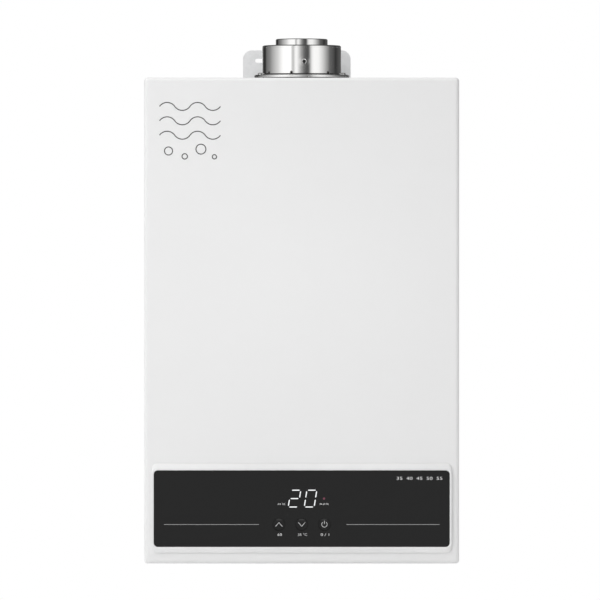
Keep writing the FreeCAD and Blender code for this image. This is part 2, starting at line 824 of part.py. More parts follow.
def panel_glass():
    glass = rounded_plate(GLASS_W, GLASS_H, GLASS_R, GLASS_FRONT, GLASS_REAR, 0, PANEL_Z)
    holes = []
    for x in button_places().values():
        holes.append(rod(at(x, GLASS_FRONT - 1, BUTTON_Z), at(x, GLASS_REAR + 1, BUTTON_Z),
                         BUTTON_R + BODY_GAP))
    return without(glass, holes)


def button(x):
    """A domed cap in the glass, a flange behind it and a stem that reaches the switch."""
    crown = GLASS_FRONT - BUTTON_CROWN
    dome_r = (BUTTON_R ** 2 + BUTTON_CROWN ** 2) / (2 * BUTTON_CROWN)
    flange_front = GLASS_REAR + BODY_GAP
    flange_rear = flange_front + BUTTON_FLANGE_T
    cap = rod(at(x, crown, BUTTON_Z), at(x, flange_rear, BUTTON_Z), BUTTON_R)
    cap = cap.common(Part.makeSphere(dome_r, at(x, crown + dome_r, BUTTON_Z)))
    flange = rod(at(x, flange_front, BUTTON_Z), at(x, flange_rear, BUTTON_Z), BUTTON_FLANGE_R)
    reach = BOARD_FRONT - SWITCH_H - BUTTON_TRAVEL - BODY_GAP
    stem = rod(at(x, flange_rear - 0.5, BUTTON_Z), at(x, reach, BUTTON_Z), BUTTON_STEM_R)
    return joined([cap, flange, stem])


def display_housing():
    """The tray behind the panel that carries the board on four bosses."""
    z = housing_z()
    outer = rounded_plate(HOUSING_W, HOUSING_H, HOUSING_R, BEZEL_REAR, HOUSING_REAR, 0, z)
    inner = rounded_plate(HOUSING_W - 2 * HOUSING_WALL, HOUSING_H - 2 * HOUSING_WALL,
                          HOUSING_R - HOUSING_WALL, BEZEL_REAR - 1, HOUSING_REAR - HOUSING_WALL, 0, z)
    pieces = [outer.cut(inner)]
    for x in (-1, 1):
        for side in (-1, 1):
            boss = at(x * (HOUSING_W / 2 - BOSS_INSET), 0, z + side * (HOUSING_H / 2 - BOSS_INSET))
            pieces.append(rod(boss + ALONG_Y * (BOARD_FRONT + BOARD_T),
                              boss + ALONG_Y * (HOUSING_REAR - HOUSING_WALL / 2), BOSS_R))
    return joined(pieces)


def display_board():
    play = HOUSING_WALL + BOARD_PLAY
    return rounded_plate(HOUSING_W - 2 * play, HOUSING_H - 2 * play, BOARD_R,
                         BOARD_FRONT, BOARD_FRONT + BOARD_T, 0, housing_z())


def display_leds():
    """The two-digit module and the round lamp beside it, standing on the board."""
    module = box(-DIGITS_W / 2, DIGITS_W / 2, BEZEL_REAR, BOARD_FRONT,
                 DIGITS_Z - DIGITS_H / 2, DIGITS_Z + DIGITS_H / 2)
    module = rounded(module, ALONG_Y, MODULE_R)
    lamp = rod(at(LAMP_X, BEZEL_REAR, DIGITS_Z), at(LAMP_X, BOARD_FRONT, DIGITS_Z), LAMP_R)
    base = rod(at(LAMP_X, BOARD_FRONT - 1, DIGITS_Z), at(LAMP_X, BOARD_FRONT, DIGITS_Z), LAMP_R + LAMP_RIM)
    return Part.makeCompound([module, joined([lamp, base])])


def tact_switches():
    switches = []
    half = SWITCH_SIZE / 2
    for x in button_places().values():
        case = box(x - half, x + half, BOARD_FRONT - SWITCH_H + SWITCH_TIP_H, BOARD_FRONT,
                   BUTTON_Z - half, BUTTON_Z + half)
        tip = rod(at(x, BOARD_FRONT - SWITCH_H, BUTTON_Z), at(x, BOARD_FRONT - 1, BUTTON_Z), SWITCH_TIP_R)
        switches.append(joined([case, tip]))
    return Part.makeCompound(switches)


# Flue

def flue_flange():
    """The round foot: a disc with a turned-down rim and a neck inside the collar."""
    under = FLANGE_TOP - FLANGE_SHEET
    neck_in = COLLAR_R - COLLAR_T - RUN_FIT - FLANGE_SHEET
    neck_out = COLLAR_R - COLLAR_T - RUN_FIT
    rim_in = FLANGE_R - FLANGE_SHEET
    foot = Z_TOP + BODY_GAP
    flange = turned([
        (neck_in, under), (rim_in, under), (rim_in, foot), (FLANGE_R, foot), (FLANGE_R, FLANGE_TOP),
        (neck_out, FLANGE_TOP), (neck_out, FLANGE_TOP + NECK_RISE), (neck_in, FLANGE_TOP + NECK_RISE),
    ], 0, FLUE_Y)
    flange = flange.makeFillet(FLANGE_SHEET * 0.8, rims(flange, FLANGE_R, FLANGE_TOP))
    holes = []
    for place in flue_screw_places():
        holes.append(rod(at(place.x, place.y, under - 1), at(place.x, place.y, FLANGE_TOP + 1),
                         SCREW_R + SCREW_CLEAR))
    return without(flange, holes)


def flue_gasket():
    bore = COLLAR_R - COLLAR_T
    return ring(0, FLUE_Y, TOP_PLATE_Z, FLANGE_TOP - FLANGE_SHEET, bore + GASKET_W, bore)


def flue_direction(turn):
    angle = math.radians(turn)
    return at(math.sin(angle), -math.cos(angle), 0)


def flue_collar():
    """The air collar: a rolled top edge, a test hole in front, small dimples at its foot."""
    top = Z_TOP + COLLAR_RISE
    bore = COLLAR_R - COLLAR_T
    shoulder = top - COLLAR_BEAD
    collar = turned([
        (bore, FLANGE_TOP), (COLLAR_R, FLANGE_TOP), (COLLAR_R, top), (COLLAR_R - COLLAR_LIP, top),
        (COLLAR_R - COLLAR_LIP, shoulder), (bore, shoulder),
    ], 0, FLUE_Y)
    collar = collar.makeFillet(COLLAR_BEAD * COLLAR_ROUND, rims(collar, COLLAR_R, top))
    collar = collar.makeFillet(COLLAR_BEAD * COLLAR_LIP_ROUND, rims(collar, COLLAR_R - COLLAR_LIP, top))
    groove = ring(0, FLUE_Y, shoulder - GROOVE_W, shoulder, COLLAR_R + 1, COLLAR_R - GROOVE_DEEP)
    out = flue_direction(TEST_HOLE_TURN)
    middle = at(0, FLUE_Y, Z_TOP + TEST_HOLE_RISE)
    hole = rod(middle + out * (COLLAR_R - 5), middle + out * (COLLAR_R + 2), TEST_HOLE_R)
    mouth_start = middle + out * (COLLAR_R - COLLAR_T)
    mouth = Part.makeCone(TEST_HOLE_R, TEST_HOLE_R + TEST_MOUTH, TEST_MOUTH,
                          mouth_start + out * TEST_MOUTH_IN, out)
    cuts = [groove, hole, mouth]
    for turn in DIMPLE_TURNS:
        foot = at(0, FLUE_Y, Z_TOP + DIMPLE_RISE)
        middle = foot + flue_direction(turn) * (COLLAR_R + DIMPLE_R * DIMPLE_OUT)
        cuts.append(Part.makeSphere(DIMPLE_R, middle))
    return without(collar, cuts)


def flue_inner_pipe():
    top = Z_TOP + PIPE_RISE
    bore = PIPE_R - PIPE_T
    lip = PIPE_R - PIPE_LIP
    pipe = turned([
        (bore, FAN_TOP), (PIPE_R, FAN_TOP), (PIPE_R, top), (lip, top), (lip, top - PIPE_LIP_H),
        (bore, top - PIPE_LIP_H),
    ], 0, FLUE_Y)
    pipe = pipe.makeFillet(PIPE_ROUND, rims(pipe, PIPE_R, top))
    return pipe.makeFillet(PIPE_LIP_ROUND, rims(pipe, lip, top))


def flue_screws():
    length = FLANGE_TOP - TOP_PLATE_Z + PLATE_SHEET + SCREW_PAST
    return Part.makeCompound(
        [pan_screw(place.x, place.y, FLANGE_TOP, length, FLUE_HEAD_H, False)
         for place in flue_screw_places()])


# Fan

def fan_housing():
    """The scroll: a drum with a duct up to the flue spigot, an eye behind, a tap on its left."""
    drum = rod(at(FAN_X, FAN_FRONT, FAN_Z), at(FAN_X, FAN_REAR, FAN_Z), FAN_R)
    half = DUCT_W / 2
    duct = box(-half, half, FAN_FRONT, FAN_REAR, FAN_Z, FAN_TOP)
    spigot_r = PIPE_R - PIPE_T - SPIGOT_GAP
    spigot = rod(at(0, FLUE_Y, FAN_TOP - 1), at(0, FLUE_Y, FAN_TOP + SPIGOT_H), spigot_r)
    cap = box(-half - FAN_CAP, half + FAN_CAP, FAN_FRONT - FAN_CAP, FAN_REAR + FAN_CAP,
              FAN_TOP - FAN_SHEET, FAN_TOP)
    tap = rod(at(FAN_X - FAN_R + 1, FLUE_Y, FAN_Z), at(FAN_X - FAN_R - TAP_L, FLUE_Y, FAN_Z), TAP_R)
    outer = joined([drum, duct, cap, spigot, tap])
    thin = FAN_SHEET
    drum_in = rod(at(FAN_X, FAN_FRONT + thin, FAN_Z), at(FAN_X, FAN_REAR - thin, FAN_Z), FAN_R - thin)
    duct_in = box(-half + thin, half - thin, FAN_FRONT + thin, FAN_REAR - thin, FAN_Z, FAN_TOP - thin)
    way_out = rod(at(0, FLUE_Y, FAN_TOP - 3), at(0, FLUE_Y, FAN_TOP + SPIGOT_H + 1), spigot_r - thin)
    eye = rod(at(FAN_X, FAN_REAR - 3, FAN_Z), at(FAN_X, FAN_REAR + 1, FAN_Z), FAN_EYE_R)
    shaft_hole = rod(at(FAN_X, FAN_FRONT - 1, FAN_Z), at(FAN_X, FAN_FRONT + 3, FAN_Z),
                     SHAFT_R + SHAFT_HOLE_PLAY)
    return without(outer, [drum_in, duct_in, way_out, eye, shaft_hole])


def blade(turn):
    """One curved blade of the impeller, about the Y axis through the fan."""
    thin = BLADE_T / IMPELLER_R
    lean = BLADE_LEAN
    bow = lean * BLADE_BOW
    middle_r = (IMPELLER_R + IMPELLER_IN_R) / 2

    def spot(radius, angle):
        out = radius * math.cos(angle)
        return at(FAN_X + out, FAN_FRONT + IMPELLER_GAP, FAN_Z + radius * math.sin(angle))

    inner_r = IMPELLER_IN_R
    outer_r = IMPELLER_R - BLADE_SHORT
    first = Part.Arc(spot(inner_r, turn), spot(middle_r, turn + bow), spot(outer_r, turn + lean))
    turn_2 = turn + thin
    second = Part.Arc(spot(outer_r, turn_2 + lean), spot(middle_r, turn_2 + bow), spot(inner_r, turn_2))
    edges = [first.toShape(),
             Part.LineSegment(spot(outer_r, turn + lean), spot(outer_r, turn_2 + lean)).toShape(),
             second.toShape(),
             Part.LineSegment(spot(inner_r, turn_2), spot(inner_r, turn)).toShape()]
    return Part.Face(Part.Wire(edges)).extrude(at(0, FAN_DEEP - 2 * IMPELLER_GAP, 0))


def fan_impeller():
    near = FAN_FRONT + IMPELLER_GAP
    far = FAN_REAR - IMPELLER_GAP
    axis = at(FAN_X, 0, FAN_Z)
    disc = rod(axis + ALONG_Y * near, axis + ALONG_Y * (near + DISC_T), IMPELLER_R)
    hoop = tube(axis + ALONG_Y * (far - DISC_T), axis + ALONG_Y * far, IMPELLER_R, IMPELLER_R - HOOP_W)
    hub = rod(axis + ALONG_Y * near, axis + ALONG_Y * (near + HUB_L), SHAFT_R + HUB_WALL)
    blades = [blade(2 * math.pi * k / BLADES) for k in range(BLADES)]
    wheel = joined([disc, hoop, hub] + blades)
    return wheel.cut(rod(axis + ALONG_Y * (near - 1), axis + ALONG_Y * (near + HUB_L + 1), SHAFT_R))


def motor_rear():
    return FAN_FRONT - MOTOR_LEG


def fan_shaft():
    axis = at(FAN_X, 0, FAN_Z)
    return rod(axis + ALONG_Y * (motor_rear() - MOTOR_L + SHAFT_SHORT),
               axis + ALONG_Y * (FAN_FRONT + IMPELLER_GAP + HUB_L), SHAFT_R)


def fan_motor():
    """The motor can on three legs in front of the scroll, bored for the shaft."""
    axis = at(FAN_X, 0, FAN_Z)
    rear = motor_rear()
    front = rear - MOTOR_L
    can = rod(axis + ALONG_Y * (front + MOTOR_CAP_H), axis + ALONG_Y * rear, MOTOR_R)
    cap = rod(axis + ALONG_Y * front, axis + ALONG_Y * (front + MOTOR_CAP_H + 1), MOTOR_CAP_R)
    belt_front = front + MOTOR_BELT_AT
    belt_rear = belt_front + MOTOR_BELT
    belt = rod(axis + ALONG_Y * belt_front, axis + ALONG_Y * belt_rear, MOTOR_R + MOTOR_BELT_OUT)
    pieces = [can, cap, belt]
    for k in range(3):
        turn = math.radians(90 + 120 * k)
        leg = axis + at(math.cos(turn), 0, math.sin(turn)) * (MOTOR_R - MOTOR_LEG_IN)
        pieces.append(rod(leg + ALONG_Y * (rear - 1), leg + ALONG_Y * FAN_FRONT, MOTOR_LEG_R))
    plug_y = (belt_front + belt_rear) / 2
    plug = box(FAN_X + MOTOR_R - 3, FAN_X + MOTOR_R + MOTOR_PLUG_OUT,
               plug_y - MOTOR_PLUG_W / 2, plug_y + MOTOR_PLUG_W / 2,
               FAN_Z - MOTOR_PLUG_L / 2, FAN_Z + MOTOR_PLUG_L / 2)
    pieces.append(plug)
    bore_end = front + SHAFT_SHORT - SHAFT_END_PLAY
    bore = rod(axis + ALONG_Y * bore_end, axis + ALONG_Y * (rear + 1), SHAFT_R + RUN_FIT)
    return joined(pieces).cut(bore)


# Hood, exchanger and burner

def frustum(x0, x1, y0, y1, z0, top_x0, top_x1, top_y0, top_y1, z1):
    return Part.makeLoft([rectangle_wire(x0, x1, y0, y1, z0),
                          rectangle_wire(top_x0, top_x1, top_y0, top_y1, z1)], True, True)


def fume_hood():
    """The flue gas hood: a flanged low roof with a flat riser up to the fan's eye."""
    half = EX_W / 2
    top_half = half - HOOD_TAPER_X
    top_front = EX_FRONT + HOOD_TAPER_FRONT
    top_rear = EX_REAR - HOOD_TAPER_REAR
    thin = EX_SHEET
    brim = box(-half - EX_FLANGE, half + EX_FLANGE, EX_FRONT - EX_FLANGE, EX_REAR + EX_FLANGE,
               EX_TOP, EX_TOP + thin)
    roof = frustum(-half, half, EX_FRONT, EX_REAR, EX_TOP, -top_half, top_half, top_front, top_rear, HOOD_TOP)
    room = frustum(-half + thin, half - thin, EX_FRONT + thin, EX_REAR - thin, EX_TOP - 0.01,
                   -top_half + thin, top_half - thin, top_front + thin, top_rear - thin, HOOD_TOP - thin)
    riser_top = FAN_Z + FAN_EYE_R + RISER_PAST_EYE
    left = FAN_X - RISER_W / 2
    right = FAN_X + RISER_W / 2
    riser = box(left, right, FAN_REAR, top_rear, HOOD_TOP - 4, riser_top)
    riser_room = box(left + thin, right - thin, FAN_REAR + thin, top_rear - thin,
                     HOOD_TOP - 5, riser_top - thin)
    eye = rod(at(FAN_X, FAN_REAR - 1, FAN_Z), at(FAN_X, FAN_REAR + 3, FAN_Z), FAN_EYE_R)
    return without(joined([brim, roof, riser]), [room, riser_room, eye])


def tube_rows():
    return [TUBE_REAR - TUBE_PITCH * k for k in range(TUBES)]


def exchanger_shell():
    half = EX_W / 2
    thin = EX_SHEET
    outer = rounded(box(-half, half, EX_FRONT, EX_REAR, EX_BOTTOM, EX_TOP), UP, EX_CORNER_R)
    brim = box(-half - EX_FLANGE, half + EX_FLANGE, EX_FRONT - EX_FLANGE, EX_REAR + EX_FLANGE,
               EX_TOP - thin, EX_TOP)
    foot = box(-half, half, EX_FRONT - EX_FLANGE, EX_REAR + EX_FLANGE, EX_BOTTOM, EX_BOTTOM + thin)
    room = box(-half + thin, half - thin, EX_FRONT + thin, EX_REAR - thin, EX_BOTTOM - 1, EX_TOP + 1)
    cuts = [rounded(room, UP, EX_CORNER_R - thin)]
    for y in tube_rows():
        cuts.append(rod(at(-half - 1, y, TUBE_Z), at(half + 1, y, TUBE_Z), TUBE_R + RUN_FIT))
    return without(joined([outer, brim, foot]), cuts)


def exchanger_fins():
    depth = EX_D / 2 - EX_SHEET - FIN_EDGE
    middle = (EX_FRONT + EX_REAR) / 2
    fin = box(-FIN_T / 2, FIN_T / 2, middle - depth, middle + depth, TUBE_Z - FIN_H / 2, TUBE_Z + FIN_H / 2)
    holes = [rod(at(-1, y, TUBE_Z), at(1, y, TUBE_Z), TUBE_R + RUN_FIT) for y in tube_rows()]
    fin = without(fin, holes)
    fins = []
    for k in range(FIN_COUNT):
        copy = fin.copy()
        copy.translate(at((k - (FIN_COUNT - 1) / 2) * FIN_PITCH, 0, 0))
        fins.append(copy)
    return Part.makeCompound(fins)


def serpentine():
    """The wire of the tube through the fins: level passes joined by half-circle bends."""
    reach = EX_W / 2 + BEND_OUT
    end = EX_W / 2 + TUBE_OUT
    rows = tube_rows()
    edges = []
    side = 1
    start = at(end, rows[0], TUBE_Z)
    for k in range(TUBES):
        last = k == TUBES - 1
        stop = at(-side * (end if last else reach), rows[k], TUBE_Z)
        edges.append(Part.LineSegment(start, stop).toShape())
        if not last:
            peak = at(-side * (reach + TUBE_PITCH / 2), (rows[k] + rows[k + 1]) / 2, TUBE_Z)
            start = at(-side * reach, rows[k + 1], TUBE_Z)
            edges.append(Part.Arc(stop, peak, start).toShape())
        side = -side
    return Part.Wire(edges)


def exchanger_tube():
    wire = serpentine()
    return swept(wire, TUBE_R).cut(swept(wire, TUBE_R - TUBE_WALL))


def chassis_brackets():
    """Four box-section brackets from the back plate to the exchanger and the burner."""
    brackets = []
    half = BRACKET_W / 2
    sheet = BRACKET_SHEET
    for z in (EX_TOP - BRACKET_DROP, BURNER_BOTTOM + BRACKET_RISE):
        for x in (-BRACKET_PITCH / 2, BRACKET_PITCH / 2):
            outer = box(x - half, x + half, EX_REAR, -BACK_SHEET, z, z + BRACKET_H)
            inner = box(x - half - 1, x + half + 1, EX_REAR + sheet, -BACK_SHEET - sheet,
                        z + sheet, z + BRACKET_H - sheet)
            brackets.append(outer.cut(inner))
    return Part.makeCompound(brackets)


def burner_frame():
    """The burner box: open above, a long window in front, air holes in its floor."""
    half = EX_W / 2
    thin = BURNER_SHEET
    outer = box(-half, half, EX_FRONT, EX_REAR, BURNER_BOTTOM, EX_BOTTOM)
    brim = box(-half, half, EX_FRONT - EX_FLANGE, EX_REAR + EX_FLANGE, EX_BOTTOM - thin, EX_BOTTOM)
    room = box(-half + thin, half - thin, EX_FRONT + thin, EX_REAR - thin,
               BURNER_BOTTOM + thin, EX_BOTTOM + 1)
    window_half = bar_span() + BAR_W
    cuts = [room, box(-window_half, window_half, EX_FRONT - 1, EX_FRONT + 2,
                      MANIFOLD_Z - BAR_TUBE_R - WINDOW_BELOW, MANIFOLD_Z + BAR_TUBE_R + WINDOW_ABOVE)]
    for x in ELECTRODES_X:
        cuts.append(rod(at(x, EX_FRONT - 2, ELECTRODE_Z), at(x, EX_FRONT + 3, ELECTRODE_Z),
                        CERAMIC_R + RUN_FIT))
    for k in range(BARS - 1):
        x = (k - (BARS - 2) / 2) * BAR_PITCH
        for y in (EX_REAR - EX_D / 4, EX_REAR - EX_D / 2, EX_REAR - 3 * EX_D / 4):
            cuts.append(rod(at(x, y, BURNER_BOTTOM - 1), at(x, y, BURNER_BOTTOM + 3), AIR_HOLE_R))
    return without(joined([outer, brim]), cuts)


def bar_span():
    return BAR_PITCH * (BARS - 1) / 2


def burner_bars():
    """A row of ribbon burners: a tube with a throat in front, a flat body, slots on top."""
    front = EX_FRONT + BURNER_SHEET + BAR_END
    rear = EX_REAR - BURNER_SHEET - BAR_END
    top = EX_BOTTOM - BAR_TOP_DROP
    floor = BURNER_BOTTOM + BURNER_SHEET
    pipe = rod(at(0, front, MANIFOLD_Z), at(0, rear, MANIFOLD_Z), BAR_TUBE_R)
    body = box(-BAR_W / 2, BAR_W / 2, front, rear, MANIFOLD_Z, top)
    foot = box(-BAR_FOOT_T / 2, BAR_FOOT_T / 2, front + BAR_FOOT_IN, rear - BAR_FOOT_IN, floor, MANIFOLD_Z)
    bar = joined([pipe, body, foot])
    cuts = [rod(at(0, front - 1, MANIFOLD_Z), at(0, front + BAR_THROAT_L, MANIFOLD_Z), BAR_THROAT_R)]
    step = (rear - front) / FLAME_SLOTS
    for k in range(FLAME_SLOTS):
        y = front + step * (k + 0.5)
        cuts.append(box(-BAR_W / 2 + BAR_WALL, BAR_W / 2 - BAR_WALL, y - FLAME_SLOT_T / 2,
                        y + FLAME_SLOT_T / 2, top - FLAME_SLOT_DEEP, top + 1))
    bar = without(bar, cuts)
    bars = []
    for k in range(BARS):
        copy = bar.copy()
        copy.translate(at(k * BAR_PITCH - bar_span(), 0, 0))
        bars.append(copy)
    return Part.makeCompound(bars)


def gas_manifold():
    """The square tube across the burner, with two ears to the burner's front."""
    half = MANIFOLD_SIDE / 2
    reach = EX_W / 2 - MANIFOLD_SHORT
    bar = box(-reach, reach, MANIFOLD_Y - half, MANIFOLD_Y + half, MANIFOLD_Z - half, MANIFOLD_Z + half)
    pieces = [rounded(bar, ALONG_X, MANIFOLD_R)]
    for side in (-1, 1):
        near = side * (reach - MANIFOLD_EAR)
        far = side * reach
        pieces.append(box(min(near, far), max(near, far), MANIFOLD_Y, EX_FRONT,
                          MANIFOLD_Z - half + MANIFOLD_R, MANIFOLD_Z + half - MANIFOLD_R))
    under = MANIFOLD_Z - half
    pieces.append(rod(at(0, MANIFOLD_Y, under + 1), at(0, MANIFOLD_Y, under - MANIFOLD_BOSS_H),
                      GAS_R + MANIFOLD_BOSS_WALL))
    return joined(pieces)


def gas_nozzles():
    start = MANIFOLD_Y + MANIFOLD_SIDE / 2
    tip = EX_FRONT + BURNER_SHEET + BAR_END - NOZZLE_SHORT
    nozzles = []
    for k in range(BARS):
        x = k * BAR_PITCH - bar_span()
        collar = rod(at(x, start, MANIFOLD_Z), at(x, start + NOZZLE_COLLAR, MANIFOLD_Z), NOZZLE_R)
        nose_start = start + NOZZLE_COLLAR - 0.5
        nose = Part.makeCone(NOZZLE_R - NOZZLE_STEP, NOZZLE_TIP, tip - nose_start,
                             at(x, nose_start, MANIFOLD_Z), ALONG_Y)
        nozzles.append(joined([collar, nose]))
    return Part.makeCompound(nozzles)


def electrode_insulators():
    insulators = []
    for x in ELECTRODES_X:
        outside = EX_FRONT - CERAMIC_OUT
        inside = EX_FRONT + CERAMIC_IN
        sleeve = rod(at(x, outside, ELECTRODE_Z), at(x, inside, ELECTRODE_Z), CERAMIC_R)
        bore = rod(at(x, outside - 1, ELECTRODE_Z), at(x, inside + 1, ELECTRODE_Z), ROD_R)
        insulators.append(sleeve.cut(bore))
    return Part.makeCompound(insulators)


def electrode_rods():
    rods = []
    for x in ELECTRODES_X:
        path = [at(x, EX_FRONT - ROD_OUT, ELECTRODE_Z), at(x, EX_FRONT + ROD_IN, ELECTRODE_Z),
                at(x, EX_FRONT + ROD_IN + ROD_HOOK, ELECTRODE_Z - ROD_HOOK)]
        rods.append(bent_lead(path, ROD_BEND, ROD_R))
    return Part.makeCompound(rods)


# Water side

def stub(x, upper):
    """A brass connection with its outside thread, and the upper outline that is given."""
    lower = [
        (STUB_BORE_R, STUB_BOTTOM), (THREAD_R - THREAD_CHAMFER, STUB_BOTTOM),
        (THREAD_R, STUB_BOTTOM + THREAD_CHAMFER), (THREAD_R, NUT_BOTTOM), (SHANK_R, NUT_BOTTOM),
        (SHANK_R, PLATE_TOP), (STUB_COLLAR_R, PLATE_TOP),
    ]
    return turned(lower + upper, x, CONNECT_Y)


def necked(top):
    """The outline of a collar on the plate and a neck above it."""
    collar_top = PLATE_TOP + STUB_COLLAR_H
    return [(STUB_COLLAR_R, collar_top), (STUB_NECK_R, collar_top), (STUB_NECK_R, top)]


def gas_inlet_stub():
    return stub(0, [(STUB_COLLAR_R, VALVE_BOTTOM), (STUB_BORE_R, VALVE_BOTTOM)])


def cold_inlet_stub():
    branch_z = PLATE_TOP + DRAIN_TOP - BRANCH_DROP
    inlet = stub(COLD_X, necked(SENSOR_BOTTOM) + [(STUB_BORE_R, SENSOR_BOTTOM)])
    branch = rod(at(COLD_X + STUB_BORE_R + 1, CONNECT_Y, branch_z),
                 at(DRAIN_X - DRAIN_R, CONNECT_Y, branch_z), BRANCH_R)
    return joined([inlet, branch])


def hot_outlet_stub():
    top = PLATE_TOP + HOT_STUB_H
    seat = [(WATER_R - WATER_WALL, top), (WATER_R - WATER_WALL, top - HOT_SEAT),
            (STUB_BORE_R, top - HOT_SEAT)]
    return stub(HOT_X, necked(top) + seat)


def stub_nuts():
    nuts = []
    for x in (HOT_X, 0, COLD_X):
        nut = hexagon(x, CONNECT_Y, NUT_BOTTOM, PLATE_Z, NUT_FLATS)
        bore = rod(at(x, CONNECT_Y, NUT_BOTTOM - 1), at(x, CONNECT_Y, PLATE_Z + 1), SHANK_R + RUN_FIT)
        nuts.append(nut.cut(bore))
    return Part.makeCompound(nuts)


def inlet_filter():
    """The strainer disc inside the cold inlet's mouth."""
    low = STUB_BOTTOM + FILTER_RISE
    disc = rod(at(COLD_X, CONNECT_Y, low), at(COLD_X, CONNECT_Y, low + FILTER_T), STUB_BORE_R - FILTER_FIT)
    holes = []
    for ring_number in range(FILTER_RINGS + 1):
        radius = ring_number * FILTER_RING_STEP
        count = max(1, ring_number * RING_HOLES)
        for k in range(count):
            turn = 2 * math.pi * k / count
            x = COLD_X + radius * math.cos(turn)
            y = CONNECT_Y + radius * math.sin(turn)
            holes.append(rod(at(x, y, low - 1), at(x, y, low + FILTER_T + 1), FILTER_HOLE_R))
    return without(disc, holes)


def flow_sensor_body():
    """The flow sensor: a bored body with a three-armed spider and the turbine's pin."""
    outer = rod(at(COLD_X, CONNECT_Y, SENSOR_BOTTOM), at(COLD_X, CONNECT_Y, SENSOR_TOP), SENSOR_R)
    grip = hexagon(COLD_X, CONNECT_Y, SENSOR_TOP - SENSOR_GRIP_H, SENSOR_TOP, 2 * (SENSOR_R + SENSOR_GRIP))
    pickup_low = SENSOR_BOTTOM + PICKUP_RISE
    pickup = box(COLD_X + SENSOR_R - 3, COLD_X + SENSOR_R + PICKUP_OUT, CONNECT_Y - PICKUP_W / 2,
                 CONNECT_Y + PICKUP_W / 2, pickup_low, pickup_low + PICKUP_H)
    bore_top = SENSOR_TOP - SENSOR_SEAT
    bore = rod(at(COLD_X, CONNECT_Y, SENSOR_BOTTOM - 1), at(COLD_X, CONNECT_Y, bore_top), SENSOR_BORE_R)
    neck = rod(at(COLD_X, CONNECT_Y, bore_top - 1), at(COLD_X, CONNECT_Y, SENSOR_TOP + 1),
               WATER_R - WATER_WALL)
    body = without(joined([outer, grip, pickup]), [bore, neck])
    spider_z = SENSOR_BOTTOM + SPIDER_RISE
    arm_end = COLD_X + SENSOR_BORE_R + SPIDER_ROOT
    arms = []
    for k in range(3):
        arm = box(COLD_X, arm_end, CONNECT_Y - SPIDER_ARM / 2, CONNECT_Y + SPIDER_ARM / 2,
                  spider_z, spider_z + SPIDER_T)
        arm.rotate(at(COLD_X, CONNECT_Y, 0), UP, 120 * k)
        arms.append(arm)
    pin_top = spider_z + SPIDER_T + BODY_GAP + TURBINE_H + PIN_PAST
    pin = rod(at(COLD_X, CONNECT_Y, spider_z), at(COLD_X, CONNECT_Y, pin_top), TURBINE_PIN_R)
    return joined([body, pin] + arms)


def flow_turbine():
    low = SENSOR_BOTTOM + SPIDER_RISE + SPIDER_T + BODY_GAP
    top = low + TURBINE_H
    hub = rod(at(COLD_X, CONNECT_Y, low), at(COLD_X, CONNECT_Y, top), TURBINE_HUB_R)
    pieces = [hub]
    for k in range(TURBINE_VANES):
        vane = box(COLD_X + TURBINE_HUB_R - 1, COLD_X + TURBINE_R,
                   CONNECT_Y - VANE_T / 2, CONNECT_Y + VANE_T / 2, low, top)
        vane.rotate(at(COLD_X, CONNECT_Y, 0), UP, 360 / TURBINE_VANES * k)
        pieces.append(vane)
    bore = rod(at(COLD_X, CONNECT_Y, low - 1), at(COLD_X, CONNECT_Y, top + 1), TURBINE_PIN_R + RUN_FIT)
    return joined(pieces).cut(bore)


def side_x():
    return EX_W / 2 + COIL_GAP + WATER_R


def outer_run_x():
    return side_x() + SIDE_RUN


def cold_pipe():
    """From the flow sensor up the right side, twice round the chamber, to the first tube."""
    x = side_x()
    out = outer_run_x()
    front = EX_FRONT - COIL_GAP - WATER_R
    rear = EX_REAR + COIL_GAP + WATER_R
    low = EX_BOTTOM + COIL_LOW
    high = TUBE_Z - COIL_TOP
    middle = (low + high) / 2
    under = BURNER_BOTTOM - WATER_R - COLD_UNDER
    end = EX_W / 2 + TUBE_OUT
    points = [
        at(COLD_X, CONNECT_Y, SENSOR_TOP), at(COLD_X, CONNECT_Y, under), at(x, CONNECT_Y, under),
        at(x, CONNECT_Y, low), at(x, rear, low), at(-x, rear, middle), at(-x, front, middle),
        at(x, front, middle), at(x, rear, middle), at(-x, rear, high), at(-x, front, high),
        at(out, front, TUBE_Z), at(out, TUBE_REAR, TUBE_Z), at(end, TUBE_REAR, TUBE_Z),
    ]
    return bent_pipe(points, WATER_BEND, WATER_R, WATER_WALL)


def hot_pipe():
    out = -outer_run_x()
    end = -(EX_W / 2 + TUBE_OUT)
    under = BURNER_BOTTOM - WATER_R - HOT_UNDER
    points = [
        at(end, TUBE_FRONT, TUBE_Z), at(out, TUBE_FRONT, TUBE_Z), at(out, TUBE_FRONT, under),
        at(out, CONNECT_Y, under), at(HOT_X, CONNECT_Y, under), at(HOT_X, CONNECT_Y, PLATE_TOP + HOT_STUB_H),
    ]
    return bent_pipe(points, WATER_BEND, WATER_R, WATER_WALL)


def drain_valve_body():
    """The drain valve through the plate, fed by the cold inlet's branch."""
    low = PLATE_Z - DRAIN_BELOW
    body = rod(at(DRAIN_X, CONNECT_Y, low), at(DRAIN_X, CONNECT_Y, PLATE_TOP + DRAIN_TOP), DRAIN_R)
    collar = rod(at(DRAIN_X, CONNECT_Y, PLATE_TOP), at(DRAIN_X, CONNECT_Y, PLATE_TOP + DRAIN_COLLAR_H),
                 DRAIN_R + DRAIN_COLLAR)
    bore = rod(at(DRAIN_X, CONNECT_Y, low - 1), at(DRAIN_X, CONNECT_Y, low + DRAIN_BORE_L),
               DRAIN_STEM_R + RUN_FIT)
    return joined([body, collar]).cut(bore)


